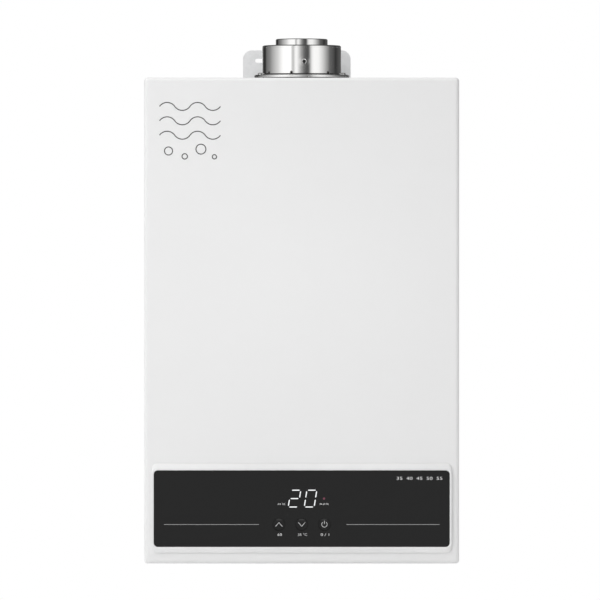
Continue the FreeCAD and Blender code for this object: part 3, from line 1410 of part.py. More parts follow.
def drain_knob():
    """The knob that turns in the drain valve, with a finger wing."""
    top = PLATE_Z - DRAIN_BELOW - BODY_GAP
    low = top - KNOB_H
    knob = rod(at(DRAIN_X, CONNECT_Y, top), at(DRAIN_X, CONNECT_Y, top - KNOB_H / 2), KNOB_R)
    reach = KNOB_R + WING_OUT
    wing = box(DRAIN_X - reach, DRAIN_X + reach, CONNECT_Y - WING_T / 2, CONNECT_Y + WING_T / 2,
               low, top - WING_DROP)
    wing = rounded(wing, ALONG_Y, WING_R)
    stem = rod(at(DRAIN_X, CONNECT_Y, top - 1), at(DRAIN_X, CONNECT_Y, top + DRAIN_STEM_L), DRAIN_STEM_R)
    return joined([knob, wing, stem])


# Gas side

def coil_places():
    return {"shutoff": -COIL_PITCH / 2, "modulating": COIL_PITCH / 2}


def gas_valve_body():
    """The die-cast valve: bored for two plungers, with a boss for the riser pipe."""
    body_top = VALVE_TOP - VALVE_BOSS_H
    half = VALVE_W / 2
    body = box(-half, half, VALVE_FRONT, VALVE_FRONT + VALVE_D, VALVE_BOTTOM, body_top)
    body = rounded(body, UP, VALVE_R)
    boss = rod(at(0, GAS_RISER_Y, body_top - 3), at(0, GAS_RISER_Y, VALVE_TOP), GAS_R + VALVE_BOSS)
    lid = box(VALVE_LID_IN - half, half - VALVE_LID_IN, VALVE_FRONT + VALVE_LID_IN,
              VALVE_FRONT + VALVE_D - VALVE_LID_IN, body_top - 1, body_top - 1 + VALVE_LID_T)
    cuts = []
    for x in coil_places().values():
        cuts.append(rod(at(x, VALVE_FRONT - 1, COIL_Z), at(x, VALVE_FRONT + SEAT_DEEP, COIL_Z),
                        PLUNGER_SEAT_R + PLUNGER_PLAY))
    return without(joined([body, boss, lid]), cuts)


def valve_coils():
    coils = []
    for x in coil_places().values():
        front = VALVE_FRONT - COIL_L
        winding = rod(at(x, front, COIL_Z), at(x, VALVE_FRONT, COIL_Z), COIL_R)
        block = box(x - COIL_R, x + COIL_R, front + COIL_FOOT_IN, VALVE_FRONT - COIL_FOOT_IN,
                    COIL_Z - COIL_R - COIL_FOOT, COIL_Z)
        bore = rod(at(x, front + COIL_END, COIL_Z), at(x, VALVE_FRONT + 1, COIL_Z), PLUNGER_R + RUN_FIT)
        coils.append(joined([winding, block]).cut(bore))
    return Part.makeCompound(coils)


def plunger_front():
    return VALVE_FRONT + SEAT_DEEP - BODY_GAP - PLUNGER_L


def plunger(x):
    """A valve plunger: a bar in the coil with a seat disc that closes the gas way."""
    seat = VALVE_FRONT + SEAT_DEEP - BODY_GAP
    bar = rod(at(x, plunger_front(), COIL_Z), at(x, seat, COIL_Z), PLUNGER_R)
    disc = rod(at(x, seat - PLUNGER_SEAT_T, COIL_Z), at(x, seat, COIL_Z), PLUNGER_SEAT_R)
    return joined([bar, disc])


def plunger_spring(x):
    """The closing spring between the plunger and the coil's end, as a plain sleeve of its size."""
    low = VALVE_FRONT - COIL_L + COIL_END + BODY_GAP
    high = plunger_front() - BODY_GAP
    outer_r = PLUNGER_R - SPRING_WIRE / 2
    outer = rod(at(x, low, COIL_Z), at(x, high, COIL_Z), outer_r)
    bore = rod(at(x, low - 1, COIL_Z), at(x, high + 1, COIL_Z), outer_r - SPRING_WIRE)
    return outer.cut(bore)


def gas_riser():
    under = BURNER_BOTTOM - GAS_UNDER
    points = [
        at(0, GAS_RISER_Y, VALVE_TOP), at(0, GAS_RISER_Y, under), at(0, MANIFOLD_Y, under),
        at(0, MANIFOLD_Y, MANIFOLD_Z - MANIFOLD_SIDE / 2 - MANIFOLD_BOSS_H),
    ]
    return bent_pipe(points, GAS_BEND, GAS_R, GAS_WALL)


# Boxes, sensors and leads

def controller_box():
    """The control box on the back plate, with its raised lid."""
    low = CONTROL_TOP - CONTROL_H
    case = box(CONTROL_X, CONTROL_X + CONTROL_W, -BACK_SHEET - CONTROL_D, -BACK_SHEET, low, CONTROL_TOP)
    case = rounded(case, ALONG_Y, BOX_R)
    lid_rear = -BACK_SHEET - CONTROL_D
    lid = box(CONTROL_X + BOX_LID_IN, CONTROL_X + CONTROL_W - BOX_LID_IN, lid_rear - BOX_LID_T, lid_rear + 1,
              low + BOX_LID_IN, CONTROL_TOP - BOX_LID_IN)
    lid = rounded(lid, ALONG_Y, BOX_R)
    return joined([case, lid])


def igniter_box():
    case = box(IGNITER_X, IGNITER_X + IGNITER_W, -BACK_SHEET - IGNITER_D, -BACK_SHEET,
               IGNITER_BOTTOM, IGNITER_BOTTOM + IGNITER_H)
    return rounded(case, ALONG_Y, BOX_R)


def air_pressure_switch():
    """The round diaphragm switch on its post, with a nipple for the hose."""
    rear = -BACK_SHEET - SWITCH_POST
    front = rear - SWITCH_D
    axis = at(SWITCH_X, 0, SWITCH_Z)
    post = rod(axis + ALONG_Y * (rear - 1), axis - ALONG_Y * BACK_SHEET, SWITCH_POST_R)
    drum = rod(axis + ALONG_Y * front, axis + ALONG_Y * rear, SWITCH_R)
    rim_front = front + SWITCH_RIM_AT
    rim = rod(axis + ALONG_Y * rim_front, axis + ALONG_Y * (rim_front + SWITCH_RIM_W), SWITCH_R + SWITCH_RIM)
    nose = rod(axis + ALONG_Y * (front - NIPPLE_L), axis + ALONG_Y * (front + 1), TAP_R)
    return joined([post, drum, rim, nose])


def pressure_hose():
    start_y = -BACK_SHEET - SWITCH_POST - SWITCH_D - NIPPLE_L
    points = [
        at(SWITCH_X, start_y, SWITCH_Z), at(SWITCH_X, FLUE_Y, SWITCH_Z), at(SWITCH_X, FLUE_Y, FAN_Z),
        at(FAN_X - FAN_R - TAP_L, FLUE_Y, FAN_Z),
    ]
    return bent_pipe(points, 4 * HOSE_R, HOSE_R, HOSE_R - HOSE_BORE_R)


def temperature_sensors():
    """Two spring clips with a sensor nub, on the hot and the cold pipe."""
    hot = at(-outer_run_x(), TUBE_FRONT, EX_TOP - HOT_CLIP_DROP)
    cold = at(outer_run_x(), (EX_FRONT + TUBE_REAR) / 2, TUBE_Z)
    clips = []
    for place, way, out in ((hot, UP, -ALONG_Y), (cold, ALONG_Y, ALONG_X)):
        clip = tube(place, place + way * CLIP_H, WATER_R + CLIP_T, WATER_R + RUN_FIT)
        middle = place + way * (CLIP_H / 2)
        nub = rod(middle + out * (WATER_R + NUB_ROOT), middle + out * (WATER_R + NUB_OUT), NUB_R)
        clips.append(joined([clip, nub]))
    return Part.makeCompound(clips)


def power_gland():
    """The rubber grommet for the mains lead in the bottom plate."""
    low = PLATE_Z - GLAND_BELOW
    top = PLATE_TOP + GLAND_ABOVE
    return turned([
        (GLAND_BORE_R, low), (GLAND_R - GLAND_CONE, low), (GLAND_R, low + GLAND_CONE), (GLAND_R, PLATE_Z),
        (GLAND_NECK_R, PLATE_Z), (GLAND_NECK_R, PLATE_TOP), (GLAND_R, PLATE_TOP), (GLAND_R - 1, top),
        (GLAND_BORE_R, top),
    ], GLAND_X, GLAND_Y)


def wiring_harness():
    """The spark and flame leads, the fan lead and the valve lead, along their routes."""
    leads = []
    left = IGNITER_X + IGNITER_W / 2
    outside = -outer_run_x() - WATER_R - 8.0
    near_front = EX_FRONT - 22.0
    for k, x in enumerate(ELECTRODES_X):
        step = LEAD_STEP * k
        level = ELECTRODE_Z - 12.0 - step
        points = [
            at(left - step, -BACK_SHEET - IGNITER_D / 2, IGNITER_BOTTOM),
            at(left - step, -BACK_SHEET - IGNITER_D / 2, IGNITER_BOTTOM - 24.0 - step),
            at(outside + step / 2, EX_FRONT - 8.0, level - 2.0),
            at(outside + 18.0 + step, near_front + 1.0, level),
            at(x, near_front + 1.0, level),
            at(x, near_front + 1.0, ELECTRODE_Z),
            at(x, EX_FRONT - ROD_OUT, ELECTRODE_Z),
        ]
        leads.append(bent_lead(points, LEAD_BEND, LEAD_R))
    plug_y = motor_rear() - MOTOR_L + MOTOR_BELT_AT + MOTOR_BELT / 2
    right = CONTROL_X + CONTROL_W / 2
    points = [
        at(FAN_X + MOTOR_R + MOTOR_PLUG_OUT, plug_y, FAN_Z), at(FAN_X + MOTOR_R + 40, plug_y, FAN_Z),
        at(FAN_X + MOTOR_R + 95, plug_y + 4, FAN_Z - 12), at(right - 10, -CONTROL_D - 80, FAN_Z - 50),
        at(right, -CONTROL_D - 25, CONTROL_TOP + 74.5), at(right, -CONTROL_D / 2, CONTROL_TOP + 46.5),
        at(right, -CONTROL_D / 2, CONTROL_TOP),
    ]
    leads.append(bent_lead(points, FAN_LEAD_BEND, FAN_LEAD_R))
    return Part.makeCompound(leads)


def sub_parts():
    """Every sub-part by its name."""
    parts = {
        "back_plate": back_plate(),
        "top_plate": top_plate(),
        "bottom_plate": bottom_plate(),
        "cover_seal": cover_seal(),
        "front_cover": front_cover(),
        "cover_screws": cover_screws(),
        "panel_bezel": panel_bezel(),
        "panel_glass": panel_glass(),
        "display_housing": display_housing(),
        "display_board": display_board(),
        "display_leds": display_leds(),
        "tact_switches": tact_switches(),
        "flue_flange": flue_flange(),
        "flue_gasket": flue_gasket(),
        "flue_collar": flue_collar(),
        "flue_inner_pipe": flue_inner_pipe(),
        "flue_screws": flue_screws(),
        "fan_housing": fan_housing(),
        "fan_impeller": fan_impeller(),
        "fan_shaft": fan_shaft(),
        "fan_motor": fan_motor(),
        "fume_hood": fume_hood(),
        "exchanger_shell": exchanger_shell(),
        "exchanger_fins": exchanger_fins(),
        "exchanger_tube": exchanger_tube(),
        "cold_pipe": cold_pipe(),
        "hot_pipe": hot_pipe(),
        "chassis_brackets": chassis_brackets(),
        "burner_frame": burner_frame(),
        "burner_bars": burner_bars(),
        "gas_manifold": gas_manifold(),
        "gas_nozzles": gas_nozzles(),
        "electrode_insulators": electrode_insulators(),
        "electrode_rods": electrode_rods(),
        "gas_valve_body": gas_valve_body(),
        "valve_coils": valve_coils(),
        "gas_riser": gas_riser(),
        "gas_inlet_stub": gas_inlet_stub(),
        "cold_inlet_stub": cold_inlet_stub(),
        "hot_outlet_stub": hot_outlet_stub(),
        "stub_nuts": stub_nuts(),
        "inlet_filter": inlet_filter(),
        "flow_sensor_body": flow_sensor_body(),
        "flow_turbine": flow_turbine(),
        "drain_valve_body": drain_valve_body(),
        "drain_knob": drain_knob(),
        "controller_box": controller_box(),
        "igniter_box": igniter_box(),
        "air_pressure_switch": air_pressure_switch(),
        "pressure_hose": pressure_hose(),
        "temperature_sensors": temperature_sensors(),
        "power_gland": power_gland(),
        "wiring_harness": wiring_harness(),
    }
    for name, x in button_places().items():
        parts[name] = button(x)
    for name, x in coil_places().items():
        parts[name + "_plunger"] = plunger(x)
        parts[name + "_spring"] = plunger_spring(x)
    return parts


def main():
    os.makedirs("parts", exist_ok=True)
    parts = sub_parts()
    for name, shape in parts.items():
        shape.exportStep("parts/" + name + ".step")
        print(name, "solids", len(shape.Solids), "valid", shape.isValid(), "volume", round(shape.Volume, 1))
    print(len(parts), "sub-parts")


main()
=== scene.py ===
# %% [markdown]
# A wall-hung gas water heater: a flat white steel cover, a black glass panel low on its front,
# and a bright double flue pipe on top. The working parts come in as a fixed frame, and this
# lesson gives them their looks. What shows from outside is modelled again with soft edges,
# and the parts inside keep their meshes and get a finish of their own.

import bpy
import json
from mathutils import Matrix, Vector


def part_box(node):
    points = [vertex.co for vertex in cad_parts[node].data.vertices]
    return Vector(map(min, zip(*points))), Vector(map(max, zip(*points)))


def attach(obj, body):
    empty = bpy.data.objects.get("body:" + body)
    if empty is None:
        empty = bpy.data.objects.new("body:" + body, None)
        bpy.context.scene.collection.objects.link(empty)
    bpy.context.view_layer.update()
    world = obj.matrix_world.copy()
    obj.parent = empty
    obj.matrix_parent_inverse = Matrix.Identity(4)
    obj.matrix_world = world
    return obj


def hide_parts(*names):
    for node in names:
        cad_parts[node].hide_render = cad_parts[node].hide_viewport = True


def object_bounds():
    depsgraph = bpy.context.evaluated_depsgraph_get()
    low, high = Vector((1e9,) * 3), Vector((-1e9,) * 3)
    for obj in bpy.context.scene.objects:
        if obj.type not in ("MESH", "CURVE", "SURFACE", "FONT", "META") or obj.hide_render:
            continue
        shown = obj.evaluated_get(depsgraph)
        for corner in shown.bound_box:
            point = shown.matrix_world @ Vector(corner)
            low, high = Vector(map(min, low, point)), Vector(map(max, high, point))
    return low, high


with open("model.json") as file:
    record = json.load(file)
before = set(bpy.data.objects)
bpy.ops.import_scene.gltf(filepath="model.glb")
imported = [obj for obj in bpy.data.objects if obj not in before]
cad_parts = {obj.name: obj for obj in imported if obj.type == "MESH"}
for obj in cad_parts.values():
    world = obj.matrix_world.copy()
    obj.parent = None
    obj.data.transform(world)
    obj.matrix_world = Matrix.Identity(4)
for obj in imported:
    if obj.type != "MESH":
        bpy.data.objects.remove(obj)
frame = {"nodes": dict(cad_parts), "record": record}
CAD_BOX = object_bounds()

# %% Modules and measures
import json
import math

import bmesh
import bpy
from mathutils import Matrix, Vector

MM = 0.001
UP = Vector((0, 0, 1))
TO_FRONT = Vector((0, -1, 0))
STAND = Matrix.Rotation(math.radians(90), 4, "X")


def box_mm(node):
    """The lowest and highest corner of a frame node, in millimetres."""
    low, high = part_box(node)
    return low / MM, high / MM


cover_low, cover_high = box_mm("front_cover")
collar_low, collar_high = box_mm("flue_collar")
FLUE = Vector(((collar_low.x + collar_high.x) / 2, (collar_low.y + collar_high.y) / 2, 0))
print("cover", [round(v, 1) for v in (*cover_low, *cover_high)])

# %% [markdown]
# In Blender a shape, a lamp or a camera is data, and an object puts that data in the scene. Each
# piece of this lesson needs both steps, so two short helpers do them.

# %% Helpers for new objects
def mesh_from(name, bm):
    """A mesh with the shape of the bmesh, which is freed."""
    mesh = bpy.data.meshes.new(name)
    bm.to_mesh(mesh)
    bm.free()
    return mesh


def placed(name, data):
    """A new object that shows this mesh, lamp or camera."""
    piece = bpy.data.objects.new(name, data)
    bpy.context.scene.collection.objects.link(piece)
    return piece


print("object helpers ready")

# %% [markdown]
# The photograph is taken from far away with a long lens, level, and a little above the middle
# of the casing. A real camera ten metres off gives the same lack of perspective, so a long lens
# is better here than an orthographic view, which would lose the last bit of it.

# %% Camera
FRAME_WIDTH = 666.7
CAMERA_AWAY = 10000.0
CAMERA_LEFT = 1.9
CAMERA_ABOVE = 22.9
CAMERA_SEES = 100.0
SENSOR = 36.0

casing_middle = (cover_low + cover_high) / 2
camera_data = bpy.data.cameras.new("camera")
camera_data.sensor_width = SENSOR
camera_data.lens = SENSOR * CAMERA_AWAY / FRAME_WIDTH
camera_data.clip_end = CAMERA_SEES
camera = placed("camera", camera_data)
camera.location = Vector((casing_middle.x - CAMERA_LEFT, cover_low.y - CAMERA_AWAY,
                          casing_middle.z + CAMERA_ABOVE)) * MM
camera.rotation_euler = (math.radians(90), 0, 0)
bpy.context.scene.camera = camera
bpy.context.scene.view_settings.view_transform = "Standard"
print("lens", round(camera_data.lens))

# %% [markdown]
# Node materials get long when each is written out. These short helpers each add one thing to a
# material: a pattern, a blend of two colours, a spread of roughness or a bump. Every finish
# below is then a few lines that read like its description.

# %% Helpers for finishes
def shader_of(material):
    return material.node_tree.nodes["Principled BSDF"]


def surface_of(material):
    return material.node_tree.nodes["Material Output"].inputs["Surface"]


def new_finish(name, colour, roughness, metallic=0.0):
    """A material whose shader has these plain values, ready for patterns."""
    material = bpy.data.materials.new(name)
    material.use_nodes = True
    shader = shader_of(material)
    shader.inputs["Base Color"].default_value = (*colour, 1)
    shader.inputs["Roughness"].default_value = roughness
    shader.inputs["Metallic"].default_value = metallic
    return material


def add_node(material, kind, **values):
    node = material.node_tree.nodes.new(kind)
    for name, value in values.items():
        setattr(node, name, value)
    return node


def wire(material, source, target):
    material.node_tree.links.new(source, target)


def place_on(material, stretch=(1, 1, 1), shift=(0, 0, 0)):
    """The object's own coordinates, in metres, stretched or shifted."""
    where = add_node(material, "ShaderNodeTexCoord")
    mapping = add_node(material, "ShaderNodeMapping")
    mapping.inputs["Scale"].default_value = stretch
    mapping.inputs["Location"].default_value = shift
    wire(material, where.outputs["Object"], mapping.inputs["Vector"])
    return mapping.outputs["Vector"]


def noise(material, scale, detail, stretch=(1, 1, 1), rough=0.5):
    """A cloudy pattern with this many clouds to the metre, and smaller ones in them."""
    pattern = add_node(material, "ShaderNodeTexNoise")
    pattern.inputs["Scale"].default_value = scale
    pattern.inputs["Detail"].default_value = detail
    pattern.inputs["Roughness"].default_value = rough
    wire(material, place_on(material, stretch), pattern.inputs["Vector"])
    return pattern.outputs["Fac"]


def cells(material, scale, output="Color"):
    """A pattern of flat cells, each with a colour of its own."""
    pattern = add_node(material, "ShaderNodeTexVoronoi")
    pattern.inputs["Scale"].default_value = scale
    wire(material, place_on(material), pattern.inputs["Vector"])
    return pattern.outputs[output]


def spread(material, factor, low, high, start=0.3, end=0.7):
    """The factor stretched from start and end to low and high."""
    ranged = add_node(material, "ShaderNodeMapRange")
    for name, value in (("From Min", start), ("From Max", end), ("To Min", low), ("To Max", high)):
        ranged.inputs[name].default_value = value
    wire(material, factor, ranged.inputs["Value"])
    return ranged.outputs["Result"]


def colour_between(material, factor, first, second):
    """Lets the base colour run from the first to the second with the factor."""
    mix = add_node(material, "ShaderNodeMix", data_type="RGBA")
    wire(material, factor, mix.inputs["Factor"])
    mix.inputs["A"].default_value = (*first, 1)
    mix.inputs["B"].default_value = (*second, 1)
    wire(material, mix.outputs["Result"], shader_of(material).inputs["Base Color"])


def roughness_between(material, factor, low, high):
    wire(material, spread(material, factor, low, high), shader_of(material).inputs["Roughness"])


def bumped(material, height, strength, depth):
    """A bump of that depth in metres, on top of any bump that is there already."""
    bump = add_node(material, "ShaderNodeBump")
    bump.inputs["Strength"].default_value = strength
    bump.inputs["Distance"].default_value = depth
    wire(material, height, bump.inputs["Height"])
    normal = shader_of(material).inputs["Normal"]
    if normal.is_linked:
        wire(material, normal.links[0].from_socket, bump.inputs["Normal"])
    wire(material, bump.outputs["Normal"], normal)


print("finish helpers ready")

# %% [markdown]
# The background of the photograph is pure white, but a white world that bright would wash the
# object out. So the world has two strengths: rays from the camera and reflections see full
# white, and the light that falls on the object comes from a dimmer world and four soft lamps.
# The floor does the same far away, and keeps the shadow near the object. Its underside is
# clear, so that the connections can be looked at from below.

# %% World
WORLD_LIGHT = 0.585


def sees_white(tree):
    """1 for rays from the camera, reflections and rays through glass, otherwise 0."""
    path = tree.nodes.new("ShaderNodeLightPath")
    total = path.outputs["Is Camera Ray"]
    for name in ("Is Glossy Ray", "Is Transmission Ray"):
        add = tree.nodes.new("ShaderNodeMath")
        add.operation = "MAXIMUM"
        tree.links.new(total, add.inputs[0])
        tree.links.new(path.outputs[name], add.inputs[1])
        total = add.outputs["Value"]
    return total


world = bpy.data.worlds.new("studio")
world.use_nodes = True
bpy.context.scene.world = world
tree = world.node_tree
dim = tree.nodes["Background"]
dim.inputs["Color"].default_value = (1, 1, 1, 1)
dim.inputs["Strength"].default_value = WORLD_LIGHT
white = tree.nodes.new("ShaderNodeBackground")
white.inputs["Color"].default_value = (1, 1, 1, 1)
white.inputs["Strength"].default_value = 1.0
choice = tree.nodes.new("ShaderNodeMixShader")
tree.links.new(sees_white(tree), choice.inputs["Fac"])
tree.links.new(dim.outputs["Background"], choice.inputs[1])
tree.links.new(white.outputs["Background"], choice.inputs[2])
tree.links.new(choice.outputs["Shader"], tree.nodes["World Output"].inputs["Surface"])
print("world light", WORLD_LIGHT)

# %% Floor
FLOOR_BELOW = 0.09
FLOOR_SIZE = 60.0
FLOOR_GREY = 0.9
FADE_START = 0.5
FADE_END = 1.2

floor_z = CAD_BOX[0].z - FLOOR_BELOW
bm = bmesh.new()
bmesh.ops.create_grid(bm, x_segments=1, y_segments=1, size=FLOOR_SIZE)
bmesh.ops.translate(bm, verts=bm.verts, vec=(0, 0, floor_z))
floor = placed("floor", mesh_from("floor", bm))
floor_finish = new_finish("floor", (FLOOR_GREY, FLOOR_GREY, FLOOR_GREY), 0.7)
shader_of(floor_finish).inputs["Specular IOR Level"].default_value = 0.1
length = add_node(floor_finish, "ShaderNodeVectorMath", operation="LENGTH")
wire(floor_finish, place_on(floor_finish, (1, 1, 0)), length.inputs[0])
far = spread(floor_finish, length.outputs["Value"], 0, 1, FADE_START, FADE_END)
both = add_node(floor_finish, "ShaderNodeMath", operation="MULTIPLY")
wire(floor_finish, far, both.inputs[0])
wire(floor_finish, sees_white(floor_finish.node_tree), both.inputs[1])
glow = add_node(floor_finish, "ShaderNodeEmission")
choice = add_node(floor_finish, "ShaderNodeMixShader")
wire(floor_finish, both.outputs["Value"], choice.inputs["Fac"])
wire(floor_finish, shader_of(floor_finish).outputs["BSDF"], choice.inputs[1])
wire(floor_finish, glow.outputs["Emission"], choice.inputs[2])
under = add_node(floor_finish, "ShaderNodeNewGeometry")
clear = add_node(floor_finish, "ShaderNodeBsdfTransparent")
side = add_node(floor_finish, "ShaderNodeMixShader")
wire(floor_finish, under.outputs["Backfacing"], side.inputs["Fac"])
wire(floor_finish, choice.outputs["Shader"], side.inputs[1])
wire(floor_finish, clear.outputs["BSDF"], side.inputs[2])
wire(floor_finish, side.outputs["Shader"], surface_of(floor_finish))
floor.data.materials.append(floor_finish)
print("floor at", round(floor_z, 3))

# %% Lamps
LAMP_AIM = Vector((0, -0.08, -0.28))
# Each lamp has a place and a width in metres, and its watts.
LAMPS = {
    "key": ((-1.5, -1.7, 0.9), 1.4, 19.2),
    "top": ((-0.4, -0.3, 2.4), 1.6, 22.5),
    "low": ((-0.9, -2.6, -0.5), 1.2, 5.1),
    "back": ((0.6, 2.6, 1.4), 1.8, 16.0),
}


def soft_lamp(name, place, size, watts):
    """A round area lamp that points at the heater and doesn't show in reflections."""
    data = bpy.data.lights.new(name, "AREA")
    data.shape = "DISK"
    data.size = size
    data.energy = watts
    lamp = placed(name, data)
    lamp.location = place
    lamp.rotation_euler = (LAMP_AIM - lamp.location).to_track_quat("-Z", "Y").to_euler()
    lamp.visible_glossy = False


for lamp_name, (place, size, watts) in LAMPS.items():
    soft_lamp(lamp_name, place, size, watts)
print("lamps", len(LAMPS))

# %% [markdown]
# The flue pipe is a mirror that is bent one way, so its looks are the studio around it: two soft
# boxes with a dark gap between them, and grey that falls to black at the sides. A drum of card
# round the object, which only reflections can see, holds that pattern, and its dark lid gives
# the rolled edges their dark line. It starts above the panel, so the black glass doesn't see it.

# %% Helpers for reflection cards
def only_in_reflections(card):
    """Hides a card from all rays but those that a glossy surface sends out."""
    for ray in ("camera", "diffuse", "transmission", "shadow", "volume_scatter"):
        setattr(card, "visible_" + ray, False)


def shining(name):
    """A material that does nothing but shine, and the node that shines."""
    material = bpy.data.materials.new(name)
    material.use_nodes = True
    material.node_tree.nodes.remove(shader_of(material))
    glow = add_node(material, "ShaderNodeEmission")
    wire(material, glow.outputs["Emission"], surface_of(material))
    return material, glow


print("card helpers ready")

# %% Reflection card
CARD_AWAY = 2.5
CARD_SIDES = 96
CARD_LOW = -0.16
CARD_HIGH = 2.6
LID_LEVEL = 0.07
# Each stop is an angle in degrees, counted from the front to the right, and a brightness.
CARD_STOPS = (
    (-180, 0.10), (-150, 0.10), (-141, 0.02), (-132, 0.03), (-124, 0.15), (-104, 0.27), (-87, 0.52),
    (-71, 0.75), (-57, 1.10), (-48, 1.20), (-31, 1.20), (-26, 0.60), (-23, 0.60), (-18, 1.05),
    (-13, 1.05), (-8, 0.76), (-2, 0.42), (4, 0.21), (10, 0.12), (17, 0.08), (21, 0.18), (25, 0.62),
    (30, 0.98), (36, 1.08), (48, 1.05), (60, 0.78), (74, 0.42), (88, 0.14), (106, 0.08), (116, 0.035),
    (130, 0.07), (150, 0.10), (180, 0.10),
)

bm = bmesh.new()
bmesh.ops.create_circle(bm, segments=CARD_SIDES, radius=CARD_AWAY)
walls = bmesh.ops.extrude_edge_only(bm, edges=bm.edges[:])
risen = [v for v in walls["geom"] if isinstance(v, bmesh.types.BMVert)]
bmesh.ops.translate(bm, verts=bm.verts, vec=(0, 0, CARD_LOW))
bmesh.ops.translate(bm, verts=risen, vec=(0, 0, CARD_HIGH - CARD_LOW))
bmesh.ops.contextual_create(bm, geom=risen)
card = placed("reflection_card", mesh_from("reflection_card", bm))
only_in_reflections(card)
print("card sides", CARD_SIDES)

# %% Pattern on the card
card_finish, glow = shining("reflection_card")
parts = add_node(card_finish, "ShaderNodeSeparateXYZ")
wire(card_finish, place_on(card_finish), parts.inputs["Vector"])
turn = add_node(card_finish, "ShaderNodeMath", operation="ARCTAN2")
wire(card_finish, parts.outputs["X"], turn.inputs[0])
minus = add_node(card_finish, "ShaderNodeMath", operation="MULTIPLY")
minus.inputs[1].default_value = -1
wire(card_finish, parts.outputs["Y"], minus.inputs[0])
wire(card_finish, minus.outputs["Value"], turn.inputs[1])
around = spread(card_finish, turn.outputs["Value"], 0, 1, -math.pi, math.pi)
curve = add_node(card_finish, "ShaderNodeFloatCurve")
line = curve.mapping.curves[0]
top_level = max(level for angle, level in CARD_STOPS)
for index, (angle, level) in enumerate(CARD_STOPS):
    spot = ((angle + 180) / 360, level / top_level)
    if index in (0, len(CARD_STOPS) - 1):
        line.points[0 if index == 0 else -1].location = spot
    else:
        line.points.new(*spot)
for point in line.points:
    point.handle_type = "VECTOR"
curve.mapping.update()
wire(card_finish, around, curve.inputs["Value"])
level = add_node(card_finish, "ShaderNodeMath", operation="MULTIPLY")
level.inputs[1].default_value = top_level
wire(card_finish, curve.outputs["Value"], level.inputs[0])
lid = add_node(card_finish, "ShaderNodeMath", operation="GREATER_THAN")
lid.inputs[1].default_value = CARD_HIGH - MM
wire(card_finish, parts.outputs["Z"], lid.inputs[0])
wall_or_lid = add_node(card_finish, "ShaderNodeMix", data_type="FLOAT")
wall_or_lid.inputs["B"].default_value = LID_LEVEL
wire(card_finish, lid.outputs["Value"], wall_or_lid.inputs["Factor"])
wire(card_finish, level.outputs["Value"], wall_or_lid.inputs["A"])
wire(card_finish, wall_or_lid.outputs["Result"], glow.inputs["Strength"])
card.data.materials.append(card_finish)
print("card stops", len(CARD_STOPS))

# %% [markdown]
# The domed tops of the keys lean back by up to ten degrees, so they look up past the drum's foot.
# A low strip of card in front gives them plain white there, and a small brighter card before its
# upper part makes the faint crescent of light at the top of each key.

# %% Key strip
STRIP_AWAY = 1.0
STRIP_HIGH = -0.12
# Each part has a name, a brightness, half its width, its lower edge and how much farther it stands.
STRIP_PARTS = (
    ("strip_plain", 1.0, 0.45, -0.47, 0.0),
    ("strip_bright", 2.4, 0.19, -0.285, -0.01),
)

bm = bmesh.new()
strip_finishes = []
for name, level, half, low, farther in STRIP_PARTS:
    before = set(bm.verts)
    bmesh.ops.create_grid(bm, x_segments=1, y_segments=1, size=1)
    made = [v for v in bm.verts if v not in before]
    size = Matrix.Diagonal((half, (STRIP_HIGH - low) / 2, 1, 1))
    place = Matrix.Translation((0, -STRIP_AWAY - farther, (low + STRIP_HIGH) / 2))
    bmesh.ops.transform(bm, matrix=place @ STAND @ size, verts=made)
    bm.faces.ensure_lookup_table()
    bm.faces[-1].material_index = len(strip_finishes)
    finish, glow = shining(name)
    glow.inputs["Strength"].default_value = level
    strip_finishes.append(finish)
strip = placed("key_strip", mesh_from("key_strip", bm))
for finish in strip_finishes:
    strip.data.materials.append(finish)
only_in_reflections(strip)
print("strip parts", len(STRIP_PARTS))

# %% [markdown]
# The cover is powder coated. Such a coat is never quite flat: it has a fine orange peel, about
# a millimetre across, and its gloss changes a little from place to place. Both are too small
# to see as shapes, so they are a bump and a spread of roughness and not geometry.

# %% Painted and moulded finishes
def powder_coat(name, colour):
    """Baked powder paint: orange peel, and a gloss and a shade that wander a little."""
    paint = new_finish(name, colour, 0.34)
    roughness_between(paint, noise(paint, 9.0, 4.0), 0.30, 0.40)
    bumped(paint, noise(paint, 700.0, 2.0), 0.10, 0.0003)
    shader_of(paint).inputs["Specular IOR Level"].default_value = 0.42
    colour_between(paint, spread(paint, noise(paint, 3.0, 5.0), 0.0, 1.0),
                   colour, tuple(c * 0.985 for c in colour))
    return paint


def moulded(name, colour, roughness, grain=1400.0, depth=0.00012):
    """Moulded plastic with a fine spark-eroded grain."""
    plastic = new_finish(name, colour, roughness)
    tone = spread(plastic, noise(plastic, 14.0, 4.0), 0.0, 1.0)
    colour_between(plastic, tone, colour, tuple(min(c * 1.06 + 0.003, 1) for c in colour))
    roughness_between(plastic, noise(plastic, 30.0, 4.0), roughness - 0.05, roughness + 0.06)
    bumped(plastic, noise(plastic, grain, 2.0), 0.25, depth)
    return plastic


cover_paint = powder_coat("white_powder_coat", (0.80, 0.80, 0.80))
bezel_plastic = moulded("white_bezel_plastic", (0.775, 0.775, 0.775), 0.36, 1100.0, 0.00008)
black_nylon = moulded("black_nylon", (0.018, 0.018, 0.02), 0.55)
white_nylon = moulded("white_nylon", (0.70, 0.70, 0.67), 0.5)
dark_plastic = moulded("dark_grey_plastic", (0.035, 0.036, 0.04), 0.5)
coil_plastic = moulded("blue_coil_plastic", (0.02, 0.03, 0.10), 0.42)
print("painted and moulded finishes made")

# %% [markdown]
# The panel is glass with black ink behind it: almost no colour of its own, and a clear, weak
# reflection. A perfectly even gloss looks like a hole in the picture, so faint wiping marks
# change its roughness. The keys are the same black with a finer shine on their domes.

